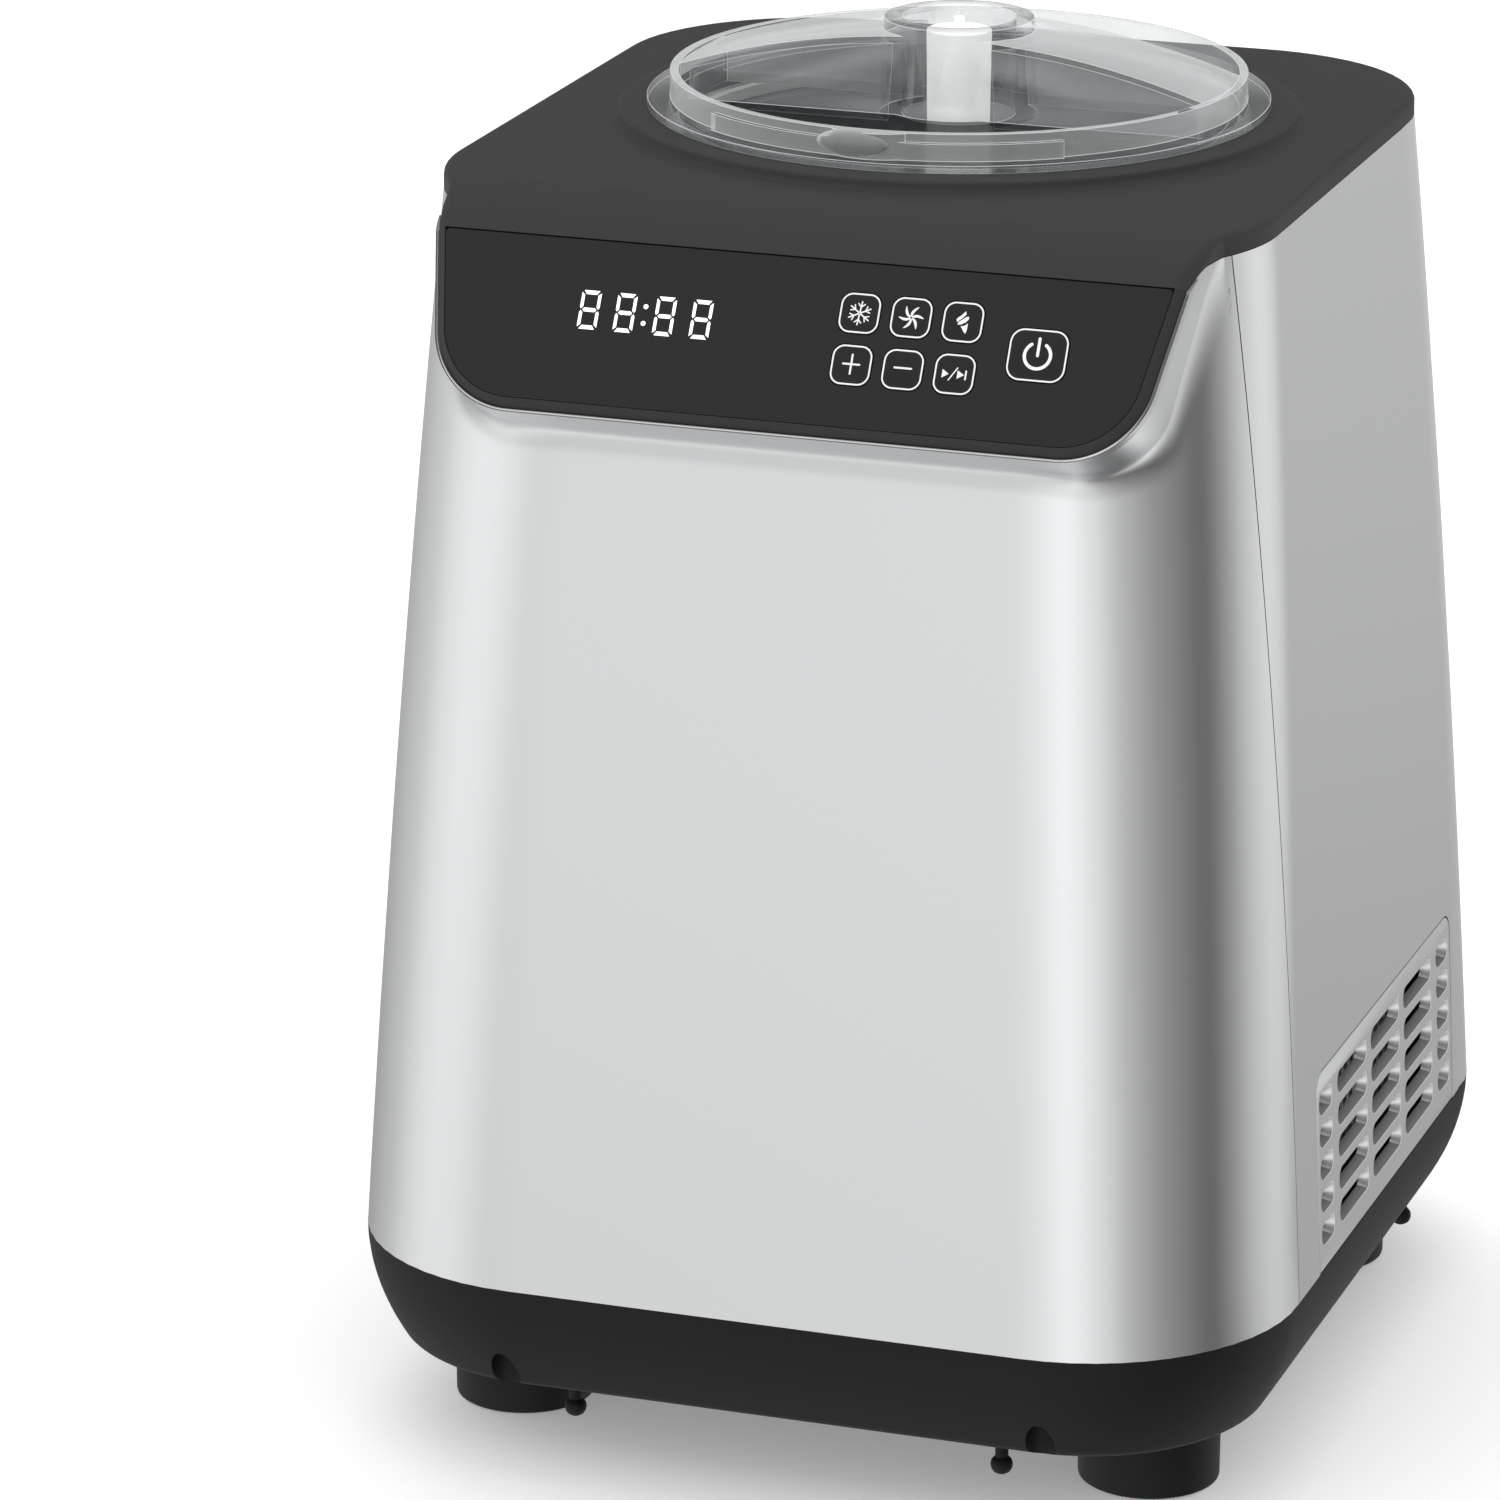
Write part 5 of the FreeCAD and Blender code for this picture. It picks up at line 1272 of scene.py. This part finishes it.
def makeFinish(name, dark, pale, roughness, metal, grain, strength, depth=0.2):
    # noise that shifts the tone and raises the surface, its depth in millimetres
    mat, tree, shader = startMaterial(name)
    setSockets(shader, Roughness=roughness, Metallic=metal)
    coords = addNode(tree, "ShaderNodeTexCoord")
    scaled = addNode(tree, "ShaderNodeMapping",
                     {"Vector": coords.outputs["Object"], "Scale": [1000 / size for size in grain]})
    noise = addNode(tree, "ShaderNodeTexNoise",
                    {"Vector": scaled.outputs[0], "Scale": 1.0, "Detail": 3.0})
    tone = addNode(tree, "ShaderNodeMix", {"Factor": noise.outputs["Fac"], "A": hexLinear(dark),
                                           "B": hexLinear(pale)}, data_type="RGBA")
    bump = addNode(tree, "ShaderNodeBump",
                   {"Height": noise.outputs["Fac"], "Strength": strength, "Distance": depth / 1000})
    tree.links.new(tone.outputs["Result"], shader.inputs["Base Color"])
    tree.links.new(bump.outputs["Normal"], shader.inputs["Normal"])
    return mat


for *look, solids in finishes:
    material = makeFinish(*look)
    for node in solids:
        nodes[node].data.materials.clear()
        nodes[node].data.materials.append(material)
print("finishes worn")

# studio: pale floor, soft light, camera at the photo's angle

studio = {
    "camera": (0.5176, -1.6177, 0.6911), "target": (-0.04572, 0.0, 0.13816),
    "lens": 183.18, "sensor": 36.0, "farClip": 50.0,
    "floorSize": 12.0, "floorColor": "#b0b0b0", "floorGlow": 0.24, "floorShade": "#f8f8f8",
    "white": 1.0, "ambient": 0.95,
    "lampPlace": (-0.18, 0.35, 1.7), "lampTarget": (0, 0, 0.1), "lampSize": 1.4, "lampPower": 6,
    # what the paint mirrors: light level by compass angle (0 is the front) and by height angle,
    # ahead and behind; rampTop brings the levels into a ramp's range, turnOver blends the heights
    "rampTop": 1.5, "turnOver": 0.3,
    "bands": ((-180, 0.8), (-165, 0.55), (-140, 0.6), (-106, 0.82), (-86, 1.1), (-70, 1.22),
              (-55, 1.18), (-32, 0.95), (-19, 1.0), (-8, 1.1), (9, 1.42), (25, 1.1), (41, 0.62),
              (63, 0.34), (87, 0.13), (100, 0.42), (116, 0.85), (134, 1.1), (150, 0.95),
              (160, 0.58), (166, 0.56), (172, 0.75), (180, 0.8)),
    "heights": ((-90, 0.85), (-45, 0.86), (-20, 0.84), (-12, 0.94), (-8, 1.0), (-3, 1.06), (5, 1.0),
                (13, 0.38), (40, 0.31), (60, 0.24), (90, 0.42)),
    "backHeights": ((-90, 0.85), (-60, 1.0), (-42, 1.15), (-30, 0.85), (-20, 0.68), (-14, 0.88),
                    (-8, 1.0), (5, 1.0), (13, 0.38), (40, 0.31), (90, 0.42)),
}


def makeFloor():
    deselectAll()
    bpy.ops.mesh.primitive_plane_add(size=studio["floorSize"], location=(0, 0, 0))
    floor = bpy.context.object
    floor.name = "floorSheet"
    mat, tree, shader = startMaterial("palePaper")
    # white paper to the camera, with the object's shadow kept on it
    setSockets(shader, Base_Color=hexLinear(studio["floorColor"]), Roughness=0.6)
    path = addNode(tree, "ShaderNodeLightPath")
    shade = addNode(tree, "ShaderNodeBsdfDiffuse", {"Color": hexLinear(studio["floorShade"])})
    glow = addNode(tree, "ShaderNodeEmission",
                   {"Color": (1, 1, 1, 1), "Strength": studio["floorGlow"]})
    seen = addNode(tree, "ShaderNodeAddShader", {0: shade.outputs[0], 1: glow.outputs[0]})
    pick = addNode(tree, "ShaderNodeMixShader",
                   {0: path.outputs["Is Camera Ray"], 1: shader.outputs[0], 2: seen.outputs[0]})
    tree.links.new(pick.outputs[0], tree.nodes["Material Output"].inputs["Surface"])
    floor.data.materials.append(mat)
    floor.visible_glossy = False


def fillRamp(ramp, stops, span):
    # stops are degrees either side of 0, up to span, with their light levels
    ramp.interpolation = "EASE"
    while len(ramp.elements) < len(stops):
        ramp.elements.new(0.5)
    # all places come first, because the ramp sorts its elements
    for element, (angle, level) in zip(ramp.elements, stops):
        element.position = (angle + span) / (2 * span)
    for element, (angle, level) in zip(ramp.elements, stops):
        share = level / studio["rampTop"]
        element.color = (share, share, share, 1)


def makeWorld():
    world = bpy.data.worlds.new("studioWorld")
    bpy.context.scene.world = world
    world.use_nodes = True
    tree = world.node_tree
    tree.nodes.clear()
    path = addNode(tree, "ShaderNodeLightPath")
    coords = addNode(tree, "ShaderNodeTexCoord")
    parts = addNode(tree, "ShaderNodeSeparateXYZ", {0: coords.outputs["Generated"]})
    minusY = addNode(tree, "ShaderNodeMath", {0: parts.outputs["Y"], 1: -1.0}, operation="MULTIPLY")
    azimuth = addNode(tree, "ShaderNodeMath", {0: parts.outputs["X"], 1: minusY.outputs[0]},
                      operation="ARCTAN2")
    turn = addNode(tree, "ShaderNodeMapRange",
                   {"Value": azimuth.outputs[0], "From Min": -math.pi, "From Max": math.pi})
    around = addNode(tree, "ShaderNodeValToRGB", {"Fac": turn.outputs[0]})
    fillRamp(around.color_ramp, studio["bands"], 180)
    height = addNode(tree, "ShaderNodeMath", {0: parts.outputs["Z"]}, operation="ARCSINE")
    rise = addNode(tree, "ShaderNodeMapRange",
                   {"Value": height.outputs[0], "From Min": -math.pi / 2, "From Max": math.pi / 2})
    ramps = []
    for stops in (studio["heights"], studio["backHeights"]):
        ramps.append(addNode(tree, "ShaderNodeValToRGB", {"Fac": rise.outputs[0]}))
        fillRamp(ramps[-1].color_ramp, stops, 90)
    over = studio["turnOver"]
    back = addNode(tree, "ShaderNodeMapRange",
                   {"Value": parts.outputs["Y"], "From Min": -over, "From Max": over})
    ahead, behind = [ramp.outputs["Color"] for ramp in ramps]
    upDown = addNode(tree, "ShaderNodeMix", {"Factor": back.outputs[0], "A": ahead, "B": behind},
                     data_type="RGBA")
    level = addNode(tree, "ShaderNodeMath",
                    {0: around.outputs["Color"], 1: upDown.outputs["Result"]}, operation="MULTIPLY")
    strength = addNode(tree, "ShaderNodeMath", {0: level.outputs[0], 1: studio["rampTop"] ** 2},
                       operation="MULTIPLY")
    # mirrored by paint, lighting the object, and seen by the camera or through the lid
    lights = (strength.outputs[0], studio["ambient"], studio["white"])
    glossy, soft, seen = [addNode(tree, "ShaderNodeBackground",
                                  {"Color": (1, 1, 1, 1), "Strength": light}) for light in lights]
    first = addNode(tree, "ShaderNodeMixShader",
                    {0: path.outputs["Is Glossy Ray"], 1: soft.outputs[0], 2: glossy.outputs[0]})
    clear = addNode(tree, "ShaderNodeMath", {0: path.outputs["Is Camera Ray"],
                                             1: path.outputs["Is Transmission Ray"]},
                    operation="MAXIMUM")
    last = addNode(tree, "ShaderNodeMixShader",
                   {0: clear.outputs[0], 1: first.outputs[0], 2: seen.outputs[0]})
    addNode(tree, "ShaderNodeOutputWorld", {"Surface": last.outputs[0]})


def aim(obj, place, target):
    obj.rotation_euler = (Vector(target) - Vector(place)).to_track_quat("-Z", "Y").to_euler()


def makeLamp():
    deselectAll()
    bpy.ops.object.light_add(type="AREA", location=studio["lampPlace"])
    lamp = bpy.context.object
    lamp.name = "overheadSoftbox"
    lamp.data.size = studio["lampSize"]
    lamp.data.energy = studio["lampPower"]
    lamp.visible_glossy = False
    aim(lamp, studio["lampPlace"], studio["lampTarget"])


def makeCamera():
    deselectAll()
    bpy.ops.object.camera_add(location=studio["camera"])
    camera = bpy.context.object
    aim(camera, studio["camera"], studio["target"])
    camera.data.sensor_width = studio["sensor"]
    camera.data.lens = studio["lens"]
    camera.data.clip_end = studio["farClip"]
    bpy.context.scene.camera = camera


makeFloor()
makeWorld()
makeLamp()
makeCamera()
bpy.context.scene.view_settings.view_transform = "Standard"
print("studio set")
